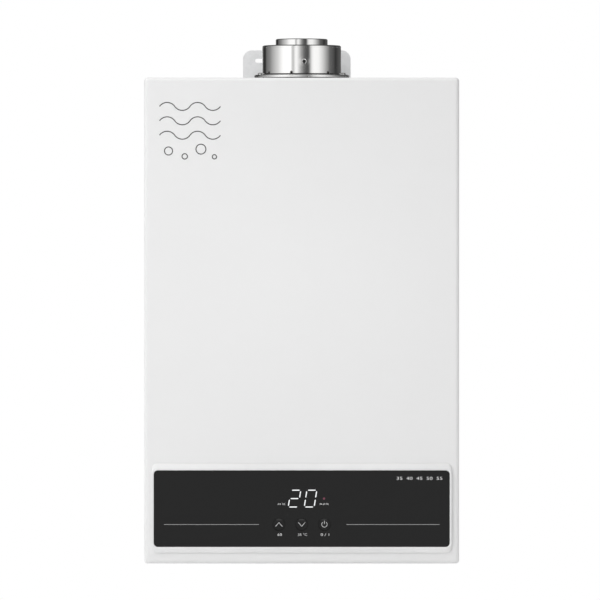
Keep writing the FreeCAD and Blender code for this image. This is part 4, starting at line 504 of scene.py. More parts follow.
# %% Panel finishes
def black_glass(name, tone, roughness):
    """Black with a weak, clear reflection and faint wiping marks."""
    glass = new_finish(name, (tone, tone, tone), roughness)
    wipes = noise(glass, 5.0, 6.0, (1.0, 1.0, 4.0), 0.65)
    roughness_between(glass, wipes, roughness * 0.7, roughness * 1.6)
    bumped(glass, noise(glass, 60.0, 2.0), 0.02, 0.0002)
    shader_of(glass).inputs["Specular IOR Level"].default_value = 0.26
    return glass


def printed(name, tone):
    """Screen-printed ink: a little uneven, with a fine edge-to-edge grain."""
    ink = new_finish(name, (tone, tone, tone), 0.55)
    speckle = spread(ink, noise(ink, 2500.0, 2.0), 0.0, 1.0)
    colour_between(ink, speckle, (tone, tone, tone), (tone * 0.85, tone * 0.85, tone * 0.86))
    bumped(ink, noise(ink, 2500.0, 2.0), 0.2, 0.00005)
    return ink


def lit(name, colour, strength):
    """A lit display segment: the light is a little uneven from place to place."""
    glow = new_finish(name, (0.02, 0.02, 0.02), 0.4)
    shader = shader_of(glow)
    mottle = spread(glow, noise(glow, 260.0, 2.0), 0.88, 1.0)
    mix = add_node(glow, "ShaderNodeMix", data_type="RGBA")
    wire(glow, mottle, mix.inputs["Factor"])
    mix.inputs["A"].default_value = (0, 0, 0, 1)
    mix.inputs["B"].default_value = (*colour, 1)
    wire(glow, mix.outputs["Result"], shader.inputs["Emission Color"])
    shader.inputs["Emission Strength"].default_value = strength
    return glow


panel_black = black_glass("black_panel_glass", 0.0032, 0.07)
key_black = black_glass("black_key_plastic", 0.0032, 0.12)
print_grey = printed("light_grey_ink", 0.72)
number_grey = printed("pale_grey_ink", 0.86)
line_grey = printed("line_grey_ink", 0.30)
art_grey = printed("dark_grey_ink", 0.045)
digit_white = lit("white_segments", (0.92, 0.94, 0.95), 1.12)
lamp_red = lit("red_lamp", (0.52, 0.035, 0.15), 0.27)
print("panel finishes made")

# %% [markdown]
# Metals are told apart by their colour and by how they were made. The flue pipe is drawn and
# polished, so it has faint lines round it. The chassis is zinc coated, with pale crystals.
# The copper is dull with darker patches from heat, and the castings have a fine grain.

# %% Metal finishes
def polished_steel(name, tone, roughness):
    """Bright steel with fine lines round it and a slight unevenness."""
    steel = new_finish(name, (tone, tone * 0.995, tone * 0.985), roughness, 1.0)
    lines = noise(steel, 1.0, 3.0, (25.0, 25.0, 2600.0), 0.6)
    roughness_between(steel, noise(steel, 35.0, 4.0), roughness * 0.7, roughness * 1.35)
    bumped(steel, lines, 0.06, 0.00004)
    bumped(steel, noise(steel, 22.0, 2.0), 0.07, 0.0012)
    return steel


def sheet_steel(name, tone, roughness, warm=0.0):
    """Mill-finished sheet with a faint rolling grain and, when warm, a straw heat tint."""
    steel = new_finish(name, (tone, tone, tone), roughness, 1.0)
    grain = noise(steel, 1.0, 4.0, (900.0, 900.0, 40.0), 0.6)
    roughness_between(steel, noise(steel, 18.0, 5.0), roughness - 0.08, roughness + 0.1)
    tint = (tone, tone * (1 - 0.16 * warm), tone * (1 - 0.38 * warm))
    colour_between(steel, spread(steel, noise(steel, 11.0, 4.0), 0.0, 1.0), (tone, tone, tone), tint)
    bumped(steel, grain, 0.10, 0.00005)
    return steel


def zinc_sheet(name):
    """Galvanised sheet: flat crystals a few millimetres across, each a slightly different shade."""
    zinc = new_finish(name, (0.84, 0.845, 0.85), 0.46, 0.35)
    crystal = add_node(zinc, "ShaderNodeSeparateColor")
    wire(zinc, cells(zinc, 170.0), crystal.inputs["Color"])
    shade = spread(zinc, crystal.outputs["Red"], 0.0, 1.0, 0.0, 1.0)
    colour_between(zinc, shade, (0.83, 0.835, 0.84), (0.88, 0.885, 0.89))
    dullness = spread(zinc, crystal.outputs["Green"], 0.40, 0.50, 0.0, 1.0)
    wire(zinc, dullness, shader_of(zinc).inputs["Roughness"])
    bumped(zinc, noise(zinc, 400.0, 3.0), 0.05, 0.0001)
    return zinc


def patchy_metal(name, bright, dark, roughness, grain=300.0, depth=0.00008, patch=25.0):
    """A metal with darker, rougher patches, as on copper, brass and castings."""
    metal = new_finish(name, bright, roughness, 1.0)
    patches = noise(metal, patch, 6.0, rough=0.65)
    colour_between(metal, spread(metal, patches, 0.0, 1.0, 0.38, 0.68), bright, dark)
    roughness_between(metal, patches, roughness - 0.06, roughness + 0.16)
    bumped(metal, noise(metal, grain, 3.0), 0.18, depth)
    return metal


flue_steel = polished_steel("polished_flue_steel", 0.88, 0.075)
pipe_steel = polished_steel("drawn_pipe_steel", 0.82, 0.06)
flange_steel = polished_steel("pressed_flange_steel", 0.84, 0.24)
screw_steel = polished_steel("zinc_plated_screw", 0.72, 0.24)
burner_steel = sheet_steel("burner_steel", 0.56, 0.36, warm=0.7)
shaft_steel = sheet_steel("ground_steel", 0.55, 0.25)
spring_steel = sheet_steel("spring_steel", 0.42, 0.32)
zinc_steel = zinc_sheet("galvanised_sheet")
copper = patchy_metal("heat_dulled_copper", (0.72, 0.34, 0.19), (0.36, 0.15, 0.08), 0.34)
brass = patchy_metal("turned_brass", (0.76, 0.56, 0.25), (0.52, 0.36, 0.15), 0.28, patch=60.0)
aluminium = patchy_metal("mill_aluminium", (0.72, 0.73, 0.74), (0.60, 0.61, 0.62), 0.35)
cast_aluminium = patchy_metal("cast_aluminium", (0.60, 0.61, 0.62), (0.48, 0.49, 0.50), 0.45,
                              900.0, 0.0002)
motor_paint = powder_coat("black_motor_lacquer", (0.03, 0.03, 0.033))
print("metal finishes made")

# %% [markdown]
# What is left is rubber and foam, which scatter light in fine pores, the green boards with their
# tracks, and glazed ceramic, which is close to a moulded plastic with a smoother skin.

# %% Other finishes
def soft_rubber(name, colour, roughness, pores=1800.0):
    """Rubber, silicone or foam with fine pores, paler where it is handled."""
    rubber = new_finish(name, colour, roughness)
    colour_between(rubber, spread(rubber, noise(rubber, 40.0, 5.0), 0.0, 1.0),
                   colour, tuple(c * 1.5 + 0.004 for c in colour))
    bumped(rubber, noise(rubber, pores, 3.0), 0.4, 0.00015)
    shader_of(rubber).inputs["Specular IOR Level"].default_value = 0.3
    return rubber


def board_green(name):
    """Solder mask with thin copper tracks under it, as a regular pattern of dark cells."""
    board = new_finish(name, (0.01, 0.09, 0.03), 0.35)
    tracks = spread(board, cells(board, 260.0, "Distance"), 0.0, 1.0, 0.0, 0.5)
    colour_between(board, tracks, (0.02, 0.16, 0.06), (0.008, 0.07, 0.025))
    bumped(board, tracks, 0.2, 0.0001)
    return board


foam = soft_rubber("seal_foam", (0.02, 0.02, 0.02), 0.9, 900.0)
rubber_black = soft_rubber("black_rubber", (0.015, 0.015, 0.015), 0.62)
silicone_red = soft_rubber("red_silicone", (0.30, 0.035, 0.015), 0.48)
lead_jacket = soft_rubber("lead_jacket", (0.028, 0.028, 0.03), 0.46)
ceramic_white = moulded("glazed_ceramic", (0.75, 0.73, 0.68), 0.18, 300.0)
board_finish = board_green("circuit_board")
module_grey = moulded("display_module", (0.05, 0.05, 0.055), 0.3)
print("materials", len(bpy.data.materials))

# %% [markdown]
# Every frame node gets the finish of its material slot. The dictionary is the whole plan of what
# the heater is made of, and a node that keeps its own mesh needs nothing more.

# %% Dress the frame
FINISH_OF_SLOT = {
    "cover_paint": cover_paint, "galvanised_steel": zinc_steel, "foam_seal": foam,
    "screw_steel": screw_steel, "white_plastic": bezel_plastic, "panel_glass": panel_black,
    "button_plastic": key_black, "dark_plastic": dark_plastic, "circuit_board": board_finish,
    "led_plastic": module_grey, "switch_plastic": black_nylon, "stainless": flue_steel,
    "stainless_matt": burner_steel, "aluminium": aluminium, "cast_aluminium": cast_aluminium,
    "shaft_steel": shaft_steel, "spring_steel": spring_steel, "motor_paint": motor_paint,
    "copper": copper, "brass": brass, "ceramic": ceramic_white, "coil_plastic": coil_plastic,
    "white_nylon": white_nylon, "black_nylon": black_nylon, "silicone": silicone_red,
    "rubber": rubber_black, "lead_jacket": lead_jacket,
}
slot_of_node = {row["node"]: row["material_slot"] for row in frame["record"]["subparts"]}
for node, piece in frame["nodes"].items():
    piece.data.materials.clear()
    piece.data.materials.append(FINISH_OF_SLOT[slot_of_node[node]])
print("dressed", len(slot_of_node), "nodes")

# %% [markdown]
# New pieces are modelled in millimetres, which read better than metres, and are scaled once at
# the end. Their place is in the mesh, so a pattern in object coordinates stays where it is.
# A small live bevel breaks every sharp edge, because a real edge always catches the light. Then
# the broad faces keep their own direction, so that a reflection on a wall stays straight up to
# the rounding that it meets.

# %% Helper that finishes a piece
MERGED = 0.0005
SHARP_FROM = 38.0
BEVEL_SEGMENTS = 2


def finish_piece(name, bm, finish, body, stands_for=(), edge=0.2, smooth=SHARP_FROM):
    """An object in metres from a bmesh in millimetres, riding on a body."""
    bmesh.ops.remove_doubles(bm, verts=bm.verts, dist=MERGED)
    bmesh.ops.recalc_face_normals(bm, faces=bm.faces)
    bmesh.ops.scale(bm, vec=(MM, MM, MM), verts=bm.verts)
    for face in bm.faces:
        face.smooth = True
    mesh = mesh_from(name, bm)
    mesh.set_sharp_from_angle(angle=math.radians(smooth))
    mesh.materials.append(finish)
    piece = placed(name, mesh)
    if edge > 0:
        bevel = piece.modifiers.new("soft_edge", "BEVEL")
        bevel.width = edge * MM
        bevel.segments = BEVEL_SEGMENTS
        bevel.limit_method = "ANGLE"
        bevel.angle_limit = math.radians(smooth)
        bevel.use_clamp_overlap = True
    broad = piece.modifiers.new("broad_faces", "WEIGHTED_NORMAL")
    broad.keep_sharp = True
    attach(piece, body)
    if stands_for:
        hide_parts(*stands_for)
    return piece


print("pieces merge points nearer than", MERGED, "mm")

# %% [markdown]
# Most of the heater's pieces are one of two kinds. What is round was turned or rolled, so it is an
# outline spun about an axis. What is flat was cut and folded, so it is a face with round corners
# that is pulled out. These helpers make both kinds, and two plain solids for cutting with.

# %% Helpers for shapes
def added(bm, made_before):
    return [v for v in bm.verts if v not in made_before]


def rounded(bm, geom, radius, segments, affect):
    """Rounds edges, or the corners of a flat outline, with a true arc."""
    bmesh.ops.bevel(bm, geom=geom, offset=radius, offset_type="OFFSET", segments=segments,
                    profile=0.5, affect=affect, material=-1)


def ring_of_points(bm, outline, rounds):
    """A closed outline of (radius, z) points in the XZ plane, with some corners rounded."""
    verts = [bm.verts.new((radius, 0, z)) for radius, z in outline]
    face = bm.faces.new(verts)
    before = set(bm.verts) - set(verts)
    for index, radius in rounds.items():
        rounded(bm, [verts[index]], radius, 5, "VERTICES")
    profile = added(bm, before)
    faces = [f for f in bm.faces if set(f.verts) <= set(profile)]
    bmesh.ops.delete(bm, geom=faces, context="FACES_ONLY")
    return profile


def turned(bm, outline, centre, rounds, steps, axis=UP):
    """Spins a closed outline of (radius, height) points about an axis through the centre.

    The rounds give some points of the outline, by their number, a radius in millimetres.
    """
    before = set(bm.verts)
    profile = ring_of_points(bm, outline, rounds)
    edges = {edge for vert in profile for edge in vert.link_edges}
    bmesh.ops.spin(bm, geom=profile + list(edges), cent=(0, 0, 0), axis=UP, angle=2 * math.pi,
                   steps=steps, use_merge=True, use_duplicate=False)
    made = added(bm, before)
    turn = UP.rotation_difference(Vector(axis)).to_matrix().to_4x4()
    bmesh.ops.transform(bm, matrix=Matrix.Translation(centre) @ turn, verts=made)
    return made


def rounded_face(bm, width, height, radius, centre, segments=6):
    """One face across X and Z with round corners."""
    before = set(bm.verts)
    bmesh.ops.create_grid(bm, x_segments=1, y_segments=1, size=0.5)
    made = added(bm, before)
    size = Matrix.Diagonal((width, height, 1, 1))
    bmesh.ops.transform(bm, matrix=Matrix.Translation(centre) @ STAND @ size, verts=made)
    if radius > 0:
        rounded(bm, made, radius, segments, "VERTICES")
    made = set(added(bm, before))
    return [face for face in bm.faces if set(face.verts) <= made][0]


def pulled(bm, face, vector):
    """Extrudes one face by a vector and gives the new face."""
    made = bmesh.ops.extrude_face_region(bm, geom=[face])["geom"]
    bmesh.ops.translate(bm, vec=vector, verts=[v for v in made if isinstance(v, bmesh.types.BMVert)])
    return [f for f in made if isinstance(f, bmesh.types.BMFace)][0]


def cuboid(bm, low, high):
    """A box between two corners."""
    before = set(bm.verts)
    bmesh.ops.create_cube(bm, size=1)
    made = added(bm, before)
    low, high = Vector(low), Vector(high)
    size = Matrix.Diagonal((*(high - low), 1))
    bmesh.ops.transform(bm, matrix=Matrix.Translation((low + high) / 2) @ size, verts=made)
    return made


def cylinder(bm, start, end, radius, steps=48):
    """A round bar between two points."""
    before = set(bm.verts)
    start, end = Vector(start), Vector(end)
    bmesh.ops.create_cone(bm, cap_ends=True, segments=steps, radius1=radius, radius2=radius,
                          depth=(end - start).length)
    made = added(bm, before)
    turn = UP.rotation_difference(end - start).to_matrix().to_4x4()
    bmesh.ops.transform(bm, matrix=Matrix.Translation((start + end) / 2) @ turn, verts=made)
    return made


print("shape helpers ready")

# %% [markdown]
# A hole is cut with a boolean. It has to come before the soft edge of the piece, so that the
# hole's rim is softened too, and its result is kept as the mesh, because the tool is then deleted.

# %% Helper for cutting
def cut_away(piece, tool_bm):
    """Cuts the tool, in millimetres, out of a piece and keeps the result as its mesh."""
    bmesh.ops.scale(tool_bm, vec=(MM, MM, MM), verts=tool_bm.verts)
    bmesh.ops.recalc_face_normals(tool_bm, faces=tool_bm.faces)
    tool = placed("tool", mesh_from("tool", tool_bm))
    cut = piece.modifiers.new("cut", "BOOLEAN")
    cut.operation = "DIFFERENCE"
    cut.solver = "EXACT"
    cut.object = tool
    while piece.modifiers[0] != cut:
        piece.modifiers.move(piece.modifiers.find(cut.name), 0)
    others = [m for m in piece.modifiers if m != cut]
    shown = [m.show_viewport for m in others]
    for modifier in others:
        modifier.show_viewport = False
    seen = piece.evaluated_get(bpy.context.evaluated_depsgraph_get())
    result = bpy.data.meshes.new_from_object(seen)
    piece.modifiers.remove(cut)
    for modifier, value in zip(others, shown):
        modifier.show_viewport = value
    old = piece.data
    piece.data = result
    bpy.data.meshes.remove(old)
    bpy.data.objects.remove(tool)
    result.name = piece.name
    result.set_sharp_from_angle(angle=math.radians(SHARP_FROM))


print("cutting helper ready")

# %% [markdown]
# The cover is one folded sheet, 0.8 mm thick, open behind and below. The outside is a box whose
# front edges are bevelled round, and the front is dished a third of a millimetre round the
# panel, where the bezel's clips pull it in. Solidifying it inwards gives the sheet its thickness,
# and booleans cut the panel's window, the notch for the flue and the open underside.

# %% Cover
COVER_SHEET = 0.8
EDGE_ROUND = 4.0
HEM = 12.0
FRONT_HEM = 20.0
NOTCH_RADIUS = 51.0
BEZEL_LAP = 4.0
POCKET_RADIUS = 6.0
POCKET_DEEP = 3.2
SCREW_PITCH = 260.0
DISH = 0.35
DISH_WIDE = 4.0
EDGE_SEGMENTS = 8
AHEAD = -0.99
NOTCH_STEPS = 128

bezel_low, bezel_high = box_mm("panel_bezel")
glass_low, glass_high = box_mm("panel_glass")
screw_row_y = cover_low.y + FRONT_HEM / 2

bm = bmesh.new()
cuboid(bm, cover_low, cover_high)
rear = [f for f in bm.faces if f.calc_center_median().y > cover_high.y - 1]
bmesh.ops.delete(bm, geom=rear, context="FACES_ONLY")
ahead = [e for e in bm.edges if not e.is_boundary]
rounded(bm, ahead, EDGE_ROUND, EDGE_SEGMENTS, "EDGES")
bmesh.ops.recalc_face_normals(bm, faces=bm.faces)
for direction in ((1, 0, 0), (0, 0, 1)):
    axis = Vector(direction)
    for corner, outwards in ((bezel_low, -axis), (bezel_high, axis)):
        ahead = [f for f in bm.faces
                 if f.normal.y < AHEAD and f.calc_center_median().y < cover_low.y + 0.1]
        near = {item for f in ahead for item in (f, *f.edges, *f.verts)}
        bmesh.ops.bisect_plane(bm, geom=list(near), plane_co=corner + outwards * DISH_WIDE,
                               plane_no=outwards)
dished = [f for f in bm.faces if f.normal.y < AHEAD and abs(f.calc_center_median().x) < 1
          and bezel_low.z < f.calc_center_median().z < bezel_high.z]
bmesh.ops.inset_region(bm, faces=dished, thickness=DISH_WIDE, depth=-DISH)
bmesh.ops.solidify(bm, geom=bm.faces[:], thickness=COVER_SHEET)
cover = finish_piece("cover_shell", bm, cover_paint, "front_cover", ["front_cover"],
                     edge=0.15)
print("cover sheet", COVER_SHEET)

# %% Openings in the cover
bm = bmesh.new()
cuboid(bm, (bezel_low.x + BEZEL_LAP, cover_low.y - 1, bezel_low.z + BEZEL_LAP),
       (bezel_high.x - BEZEL_LAP, cover_low.y + 2, bezel_high.z - BEZEL_LAP))
cuboid(bm, (cover_low.x + HEM, cover_low.y + FRONT_HEM, cover_low.z - 1),
       (cover_high.x - HEM, cover_high.y + 1, cover_low.z + COVER_SHEET + 0.1))
cut_away(cover, bm)
bm = bmesh.new()
notch_low = cover_high.z - COVER_SHEET - 0.2
cylinder(bm, FLUE + UP * notch_low, FLUE + UP * (cover_high.z + 1), NOTCH_RADIUS, NOTCH_STEPS)
cut_away(cover, bm)
bm = bmesh.new()
cuboid(bm, (-NOTCH_RADIUS, FLUE.y, notch_low), (NOTCH_RADIUS, cover_high.y + 1, cover_high.z + 1))
for side in (-1, 1):
    place = Vector((side * SCREW_PITCH / 2, screw_row_y, cover_low.z))
    cylinder(bm, place - UP, place + UP * (POCKET_DEEP + COVER_SHEET + 1),
             POCKET_RADIUS + COVER_SHEET / 2)
cut_away(cover, bm)
print("cover faces", len(cover.data.polygons))

# %% [markdown]
# The two screws under the front edge sit in pressed cups, so that their heads don't stand below
# the cover. A cup is a turned profile, closed like a thick-walled dish with a hole in it.

# %% Screw cups
SCREW_HOLE = 2.1
CUP_STEPS = 48

cup_outside = POCKET_RADIUS + COVER_SHEET
cup_top = POCKET_DEEP + COVER_SHEET
bm = bmesh.new()
for side in (-1, 1):
    outline = [(SCREW_HOLE, POCKET_DEEP), (POCKET_RADIUS, POCKET_DEEP), (POCKET_RADIUS, 0),
               (cup_outside, 0), (cup_outside, cup_top), (SCREW_HOLE, cup_top)]
    place = Vector((side * SCREW_PITCH / 2, screw_row_y, cover_low.z))
    turned(bm, outline, place, {1: 0.5, 4: 1.2}, CUP_STEPS)
finish_piece("screw_cups", bm, cover_paint, "front_cover")
print("cups", 2)

# %% [markdown]
# The bezel is a white moulding whose face slopes up from the cover to a thin rim, which falls a
# little towards the glass. Its section is a ring of round-cornered outlines that all have the same
# number of points, so each can be bridged to the next, out over the slope and back behind the glass.

# %% Bezel
BEZEL_CORNER = 6.0
RIM_WIDTH = 1.9
GLASS_CORNER = 4.5
PLUG_FIT = 0.2
POCKET_PLAY = 0.15
RIM_FALL = 0.3
CREASE = 0.25
SHOULDER = 1.5
GROOVE_WIDE = 0.5
GROOVE_DEEP = 0.5
HOUSING_WALL = 2.5
HOUSING_CORNER = 1.5

panel_centre = (glass_low + glass_high) / 2
bezel_centre = (bezel_low + bezel_high) / 2
glass_size = glass_high - glass_low
bezel_size = bezel_high - bezel_low


def outline_loop(bm, width, height, radius, x, y, z):
    """The edges of a round-cornered outline, without its face."""
    face = rounded_face(bm, width, height, radius, (x, y, z))
    edges = list(face.edges)
    bmesh.ops.delete(bm, geom=[face], context="FACES_ONLY")
    return edges


bm = bmesh.new()
loops = []
lap_width = bezel_size.x - 2 * BEZEL_LAP - 2 * PLUG_FIT
lap_height = bezel_size.z - 2 * BEZEL_LAP - 2 * PLUG_FIT
housing_low, housing_high = box_mm("display_housing")
inside = (housing_high - housing_low) - Vector((2 * HOUSING_WALL, 0, 2 * HOUSING_WALL))
inside_z = (housing_low.z + housing_high.z) / 2
rim = 2 * RIM_WIDTH
groove = rim + 2 * GROOVE_WIDE
rim_corner = GLASS_CORNER + RIM_WIDTH
pocket_width = glass_size.x + 2 * POCKET_PLAY
pocket_height = glass_size.z + 2 * POCKET_PLAY
# Each outline has a width, a height, the radius of its corners, its depth and its middle's height.
rings = (
    (bezel_size.x, bezel_size.z, BEZEL_CORNER, cover_low.y + DISH, bezel_centre.z),
    (bezel_size.x - 2 * CREASE, bezel_size.z - 2 * CREASE, BEZEL_CORNER,
     cover_low.y - SHOULDER, bezel_centre.z),
    (glass_size.x + groove, glass_size.z + groove, rim_corner + GROOVE_WIDE,
     bezel_low.y + CREASE, panel_centre.z),
    (glass_size.x + rim + GROOVE_WIDE, glass_size.z + rim + GROOVE_WIDE, rim_corner,
     bezel_low.y + GROOVE_DEEP, panel_centre.z),
    (glass_size.x + rim, glass_size.z + rim, rim_corner, bezel_low.y, panel_centre.z),
    (pocket_width, pocket_height, GLASS_CORNER, bezel_low.y + RIM_FALL, panel_centre.z),
    (pocket_width, pocket_height, GLASS_CORNER, glass_high.y, panel_centre.z),
    (inside.x, inside.z, HOUSING_CORNER, glass_high.y, inside_z),
    (inside.x, inside.z, HOUSING_CORNER, housing_low.y, inside_z),
    (lap_width, lap_height, EDGE_ROUND, housing_low.y, bezel_centre.z),
    (lap_width, lap_height, EDGE_ROUND, cover_low.y, bezel_centre.z),
)
for width, height, radius, y, z in rings:
    loops.append(outline_loop(bm, width, height, radius, 0, y, z))
for first, second in zip(loops, loops[1:] + loops[:1]):
    bmesh.ops.bridge_loops(bm, edges=first + second)
finish_piece("bezel_frame", bm, bezel_plastic, "front_cover", ["panel_bezel"],
             edge=0.25, smooth=20)
print("bezel outlines", len(rings))

# %% [markdown]
# The panel is one sheet of glass with three round holes, and a domed key stands in each. The
# sheet's edge is ground to a small bevel, which gives the thin bright line round the black.

# %% Glass
KEY_RADIUS = 6.6
KEY_HOLE = 6.9
GLASS_SEGMENTS = 8
KEY_STEPS = 64

keys = {}
for name in ("button_up", "button_down", "button_power"):
    low, high = box_mm(name)
    keys[name] = Vector(((low.x + high.x) / 2, low.y, (low.z + high.z) / 2))

bm = bmesh.new()
face = rounded_face(bm, glass_size.x, glass_size.z, GLASS_CORNER,
                    (panel_centre.x, glass_low.y, panel_centre.z), GLASS_SEGMENTS)
pulled(bm, face, (0, glass_size.y, 0))
glass = finish_piece("panel_glass_sheet", bm, panel_black, "front_cover",
                     ["panel_glass"], edge=0.3)
bm = bmesh.new()
for key in keys.values():
    cylinder(bm, (key.x, glass_low.y - 1, key.z), (key.x, glass_high.y + 1, key.z), KEY_HOLE, KEY_STEPS)
cut_away(glass, bm)
print("glass faces", len(glass.data.polygons))

# %% [markdown]
# A key is turned: a shallow dome, a short side, a flange behind the glass that stops it falling
# out, and a stem that reaches the switch. The dome's profile is an arc, worked out from its
# radius and its rise. Its top is lower by the thickness of the ink that will be printed on it.

# %% Keys
INK = 0.06
KEY_RISE = 0.7
KEY_FLANGE_RADIUS = 8.2
KEY_FLANGE = 1.0
STEM_RADIUS = 2.0
DOME_POINTS = 12
BEHIND_GLASS = 0.3

dome_radius = (KEY_RADIUS ** 2 + KEY_RISE ** 2) / (2 * KEY_RISE)


def dome_drop(distance):
    """How far the dome lies behind its highest point at that distance from its axis."""
    return dome_radius - math.sqrt(dome_radius ** 2 - distance ** 2)


for name, key in keys.items():
    low, high = box_mm(name)
    deep = high.y - low.y
    flange_at = glass_high.y + BEHIND_GLASS - low.y
    outline = [(0, -deep), (STEM_RADIUS, -deep), (STEM_RADIUS, -flange_at - KEY_FLANGE),
               (KEY_FLANGE_RADIUS, -flange_at - KEY_FLANGE), (KEY_FLANGE_RADIUS, -flange_at),
               (KEY_RADIUS, -flange_at)]
    for k in range(DOME_POINTS, -1, -1):
        distance = KEY_RADIUS * k / DOME_POINTS
        outline.append((distance, -dome_drop(distance) - INK))
    bm = bmesh.new()
    turned(bm, outline, key, {}, KEY_STEPS, TO_FRONT)
    finish_piece(name + "_cap", bm, key_black, name, [name], edge=0.15)
print("keys", list(keys))

# %% [markdown]
# Everything that is printed on the panel and the cover is a thin sheet of ink, a few hundredths
# of a millimetre thick. A stroke is a rounded bar between two points, and a mark is a few
# strokes. On a key the ink follows the dome, so its points move back by the dome's drop.

# %% Helpers for prints
STROKE_SEGMENTS = 6
LONG_EDGE = 0.9


def stroke(bm, start, end, width, y):
    """A bar with round ends from start to end, given as (x, z), at the depth y."""
    start, end = Vector(start), Vector(end)
    along = end - start
    before = set(bm.verts)
    rounded_face(bm, along.length + width, width, width / 2 - 0.001, (0, 0, 0), STROKE_SEGMENTS)
    made = added(bm, before)
    middle = (start + end) / 2
    turn = Matrix.Rotation(-math.atan2(along.y, along.x), 4, "Y")
    bmesh.ops.transform(bm, matrix=Matrix.Translation((middle.x, y, middle.y)) @ turn, verts=made)
    return made


def arc_stroke(bm, centre, radius, width, start, end, y, steps):
    """A band along a circle, from one angle to another in degrees, counted from the right."""
    before = set(bm.verts)
    inner, outer = radius - width / 2, radius + width / 2
    row = [bm.verts.new((inner, 0, 0)), bm.verts.new((outer, 0, 0))]
    edge = bm.edges.new(row)
    bmesh.ops.spin(bm, geom=row + [edge], cent=(0, 0, 0), axis=(0, -1, 0),
                   angle=math.radians(end - start), steps=steps,
                   use_merge=False, use_duplicate=False)
    made = added(bm, before)
    turn = Matrix.Rotation(-math.radians(start), 4, "Y")
    bmesh.ops.transform(bm, matrix=Matrix.Translation((centre[0], y, centre[1])) @ turn, verts=made)
    return made


def finish_print(name, bm, finish, body, follow=None):
    """Gives flat ink its thickness and, on a key, moves it onto the dome."""
    bmesh.ops.remove_doubles(bm, verts=bm.verts, dist=MERGED)
    bmesh.ops.recalc_face_normals(bm, faces=bm.faces)
    for face in bm.faces:
        if face.normal.y > 0:
            face.normal_flip()
    if follow is not None:
        bmesh.ops.triangulate(bm, faces=bm.faces[:])
        long = [e for e in bm.edges if e.calc_length() > LONG_EDGE]
        bmesh.ops.subdivide_edges(bm, edges=long, cuts=3, use_grid_fill=True)
    flat = bm.faces[:]
    made = bmesh.ops.extrude_face_region(bm, geom=flat)["geom"]
    raised = [v for v in made if isinstance(v, bmesh.types.BMVert)]
    bmesh.ops.translate(bm, vec=(0, -INK, 0), verts=raised)
    if follow is not None:
        for vert in bm.verts:
            reach = math.hypot(vert.co.x - follow.x, vert.co.z - follow.z)
            vert.co.y += dome_drop(min(reach, KEY_RADIUS)) + INK
    finish_piece(name, bm, finish, body, edge=0)


print("ink thickness", INK)

# %% [markdown]
# The display's digits are made of seven bars each, of which some are lit. Only the lit ones show
# through the black glass, so only they are made, and each digit is sheared to lean to the right.

# %% Digits
DIGIT_HIGH = 19.8
DIGIT_WIDE = 12.15
SEGMENT = 1.15
SEGMENT_GAP = 2.1
SEGMENT_ROUND = 0.3
SLANT = math.radians(9)
DIGITS_X = (-8.0, 9.8)
DIGITS_SHOW = ("abdeg", "abcdef")

leds_low, leds_high = box_mm("display_leds")
digits_z = (leds_low.z + leds_high.z) / 2


def segment(bm, start, end):
    """One lit bar with pointed ends, slightly rounded."""
    start, end = Vector(start), Vector(end)
    along = (end - start).normalized()
    across = Vector((-along.y, along.x)) * SEGMENT / 2
    tip = along * SEGMENT / 2
    first, last = start + along * SEGMENT_GAP / 2, end - along * SEGMENT_GAP / 2
    corners = [first, first + tip - across, last - tip - across,
               last, last - tip + across, first + tip + across]
    verts = [bm.verts.new((c.x, 0, c.y)) for c in corners]
    bm.faces.new(verts)
    rounded(bm, verts, SEGMENT_ROUND, 3, "VERTICES")


half_high, wide = DIGIT_HIGH / 2 - SEGMENT / 2, DIGIT_WIDE / 2 - SEGMENT / 2
SEGMENTS = {
    "a": ((-wide, half_high), (wide, half_high)), "b": ((wide, half_high), (wide, 0)),
    "c": ((wide, 0), (wide, -half_high)), "d": ((-wide, -half_high), (wide, -half_high)),
    "e": ((-wide, 0), (-wide, -half_high)), "f": ((-wide, half_high), (-wide, 0)),
    "g": ((-wide, 0), (wide, 0)),
}
bm = bmesh.new()
for centre_x, lit_bars in zip(DIGITS_X, DIGITS_SHOW):
    before = set(bm.verts)
    for letter in lit_bars:
        segment(bm, *SEGMENTS[letter])
    made = added(bm, before)
    lean = Matrix.Identity(4)
    lean[0][2] = math.tan(SLANT)
    place = Matrix.Translation((centre_x, glass_low.y, digits_z))
    bmesh.ops.transform(bm, matrix=place @ lean, verts=made)
finish_print("display_digits", bm, digit_white, "front_cover")
print("digit bars", sum(len(d) for d in DIGITS_SHOW))

# %% Lamp
LAMP_AT = 24.8
LAMP_RADIUS = 1.25
LAMP_SUNK = 0.05
LAMP_RIM = 0.03
LAMP_TOP = 0.08

bm = bmesh.new()
outline = [(0, -LAMP_SUNK), (LAMP_RADIUS, -LAMP_SUNK), (LAMP_RADIUS, LAMP_RIM), (0, LAMP_TOP)]
turned(bm, outline, Vector((LAMP_AT, glass_low.y, digits_z)), {2: 0.02}, 32, TO_FRONT)
finish_piece("indicator_lamp", bm, lamp_red, "front_cover", edge=0)
print("lamp at", LAMP_AT)

# %% Marks on the keys
MARK_HALF = 3.7
MARK_HIGH = 4.2
MARK_STROKE = 0.5
POWER_RADIUS = 3.0
POWER_ARC = (125, 415)
POWER_BAR = (0.9, 3.9)

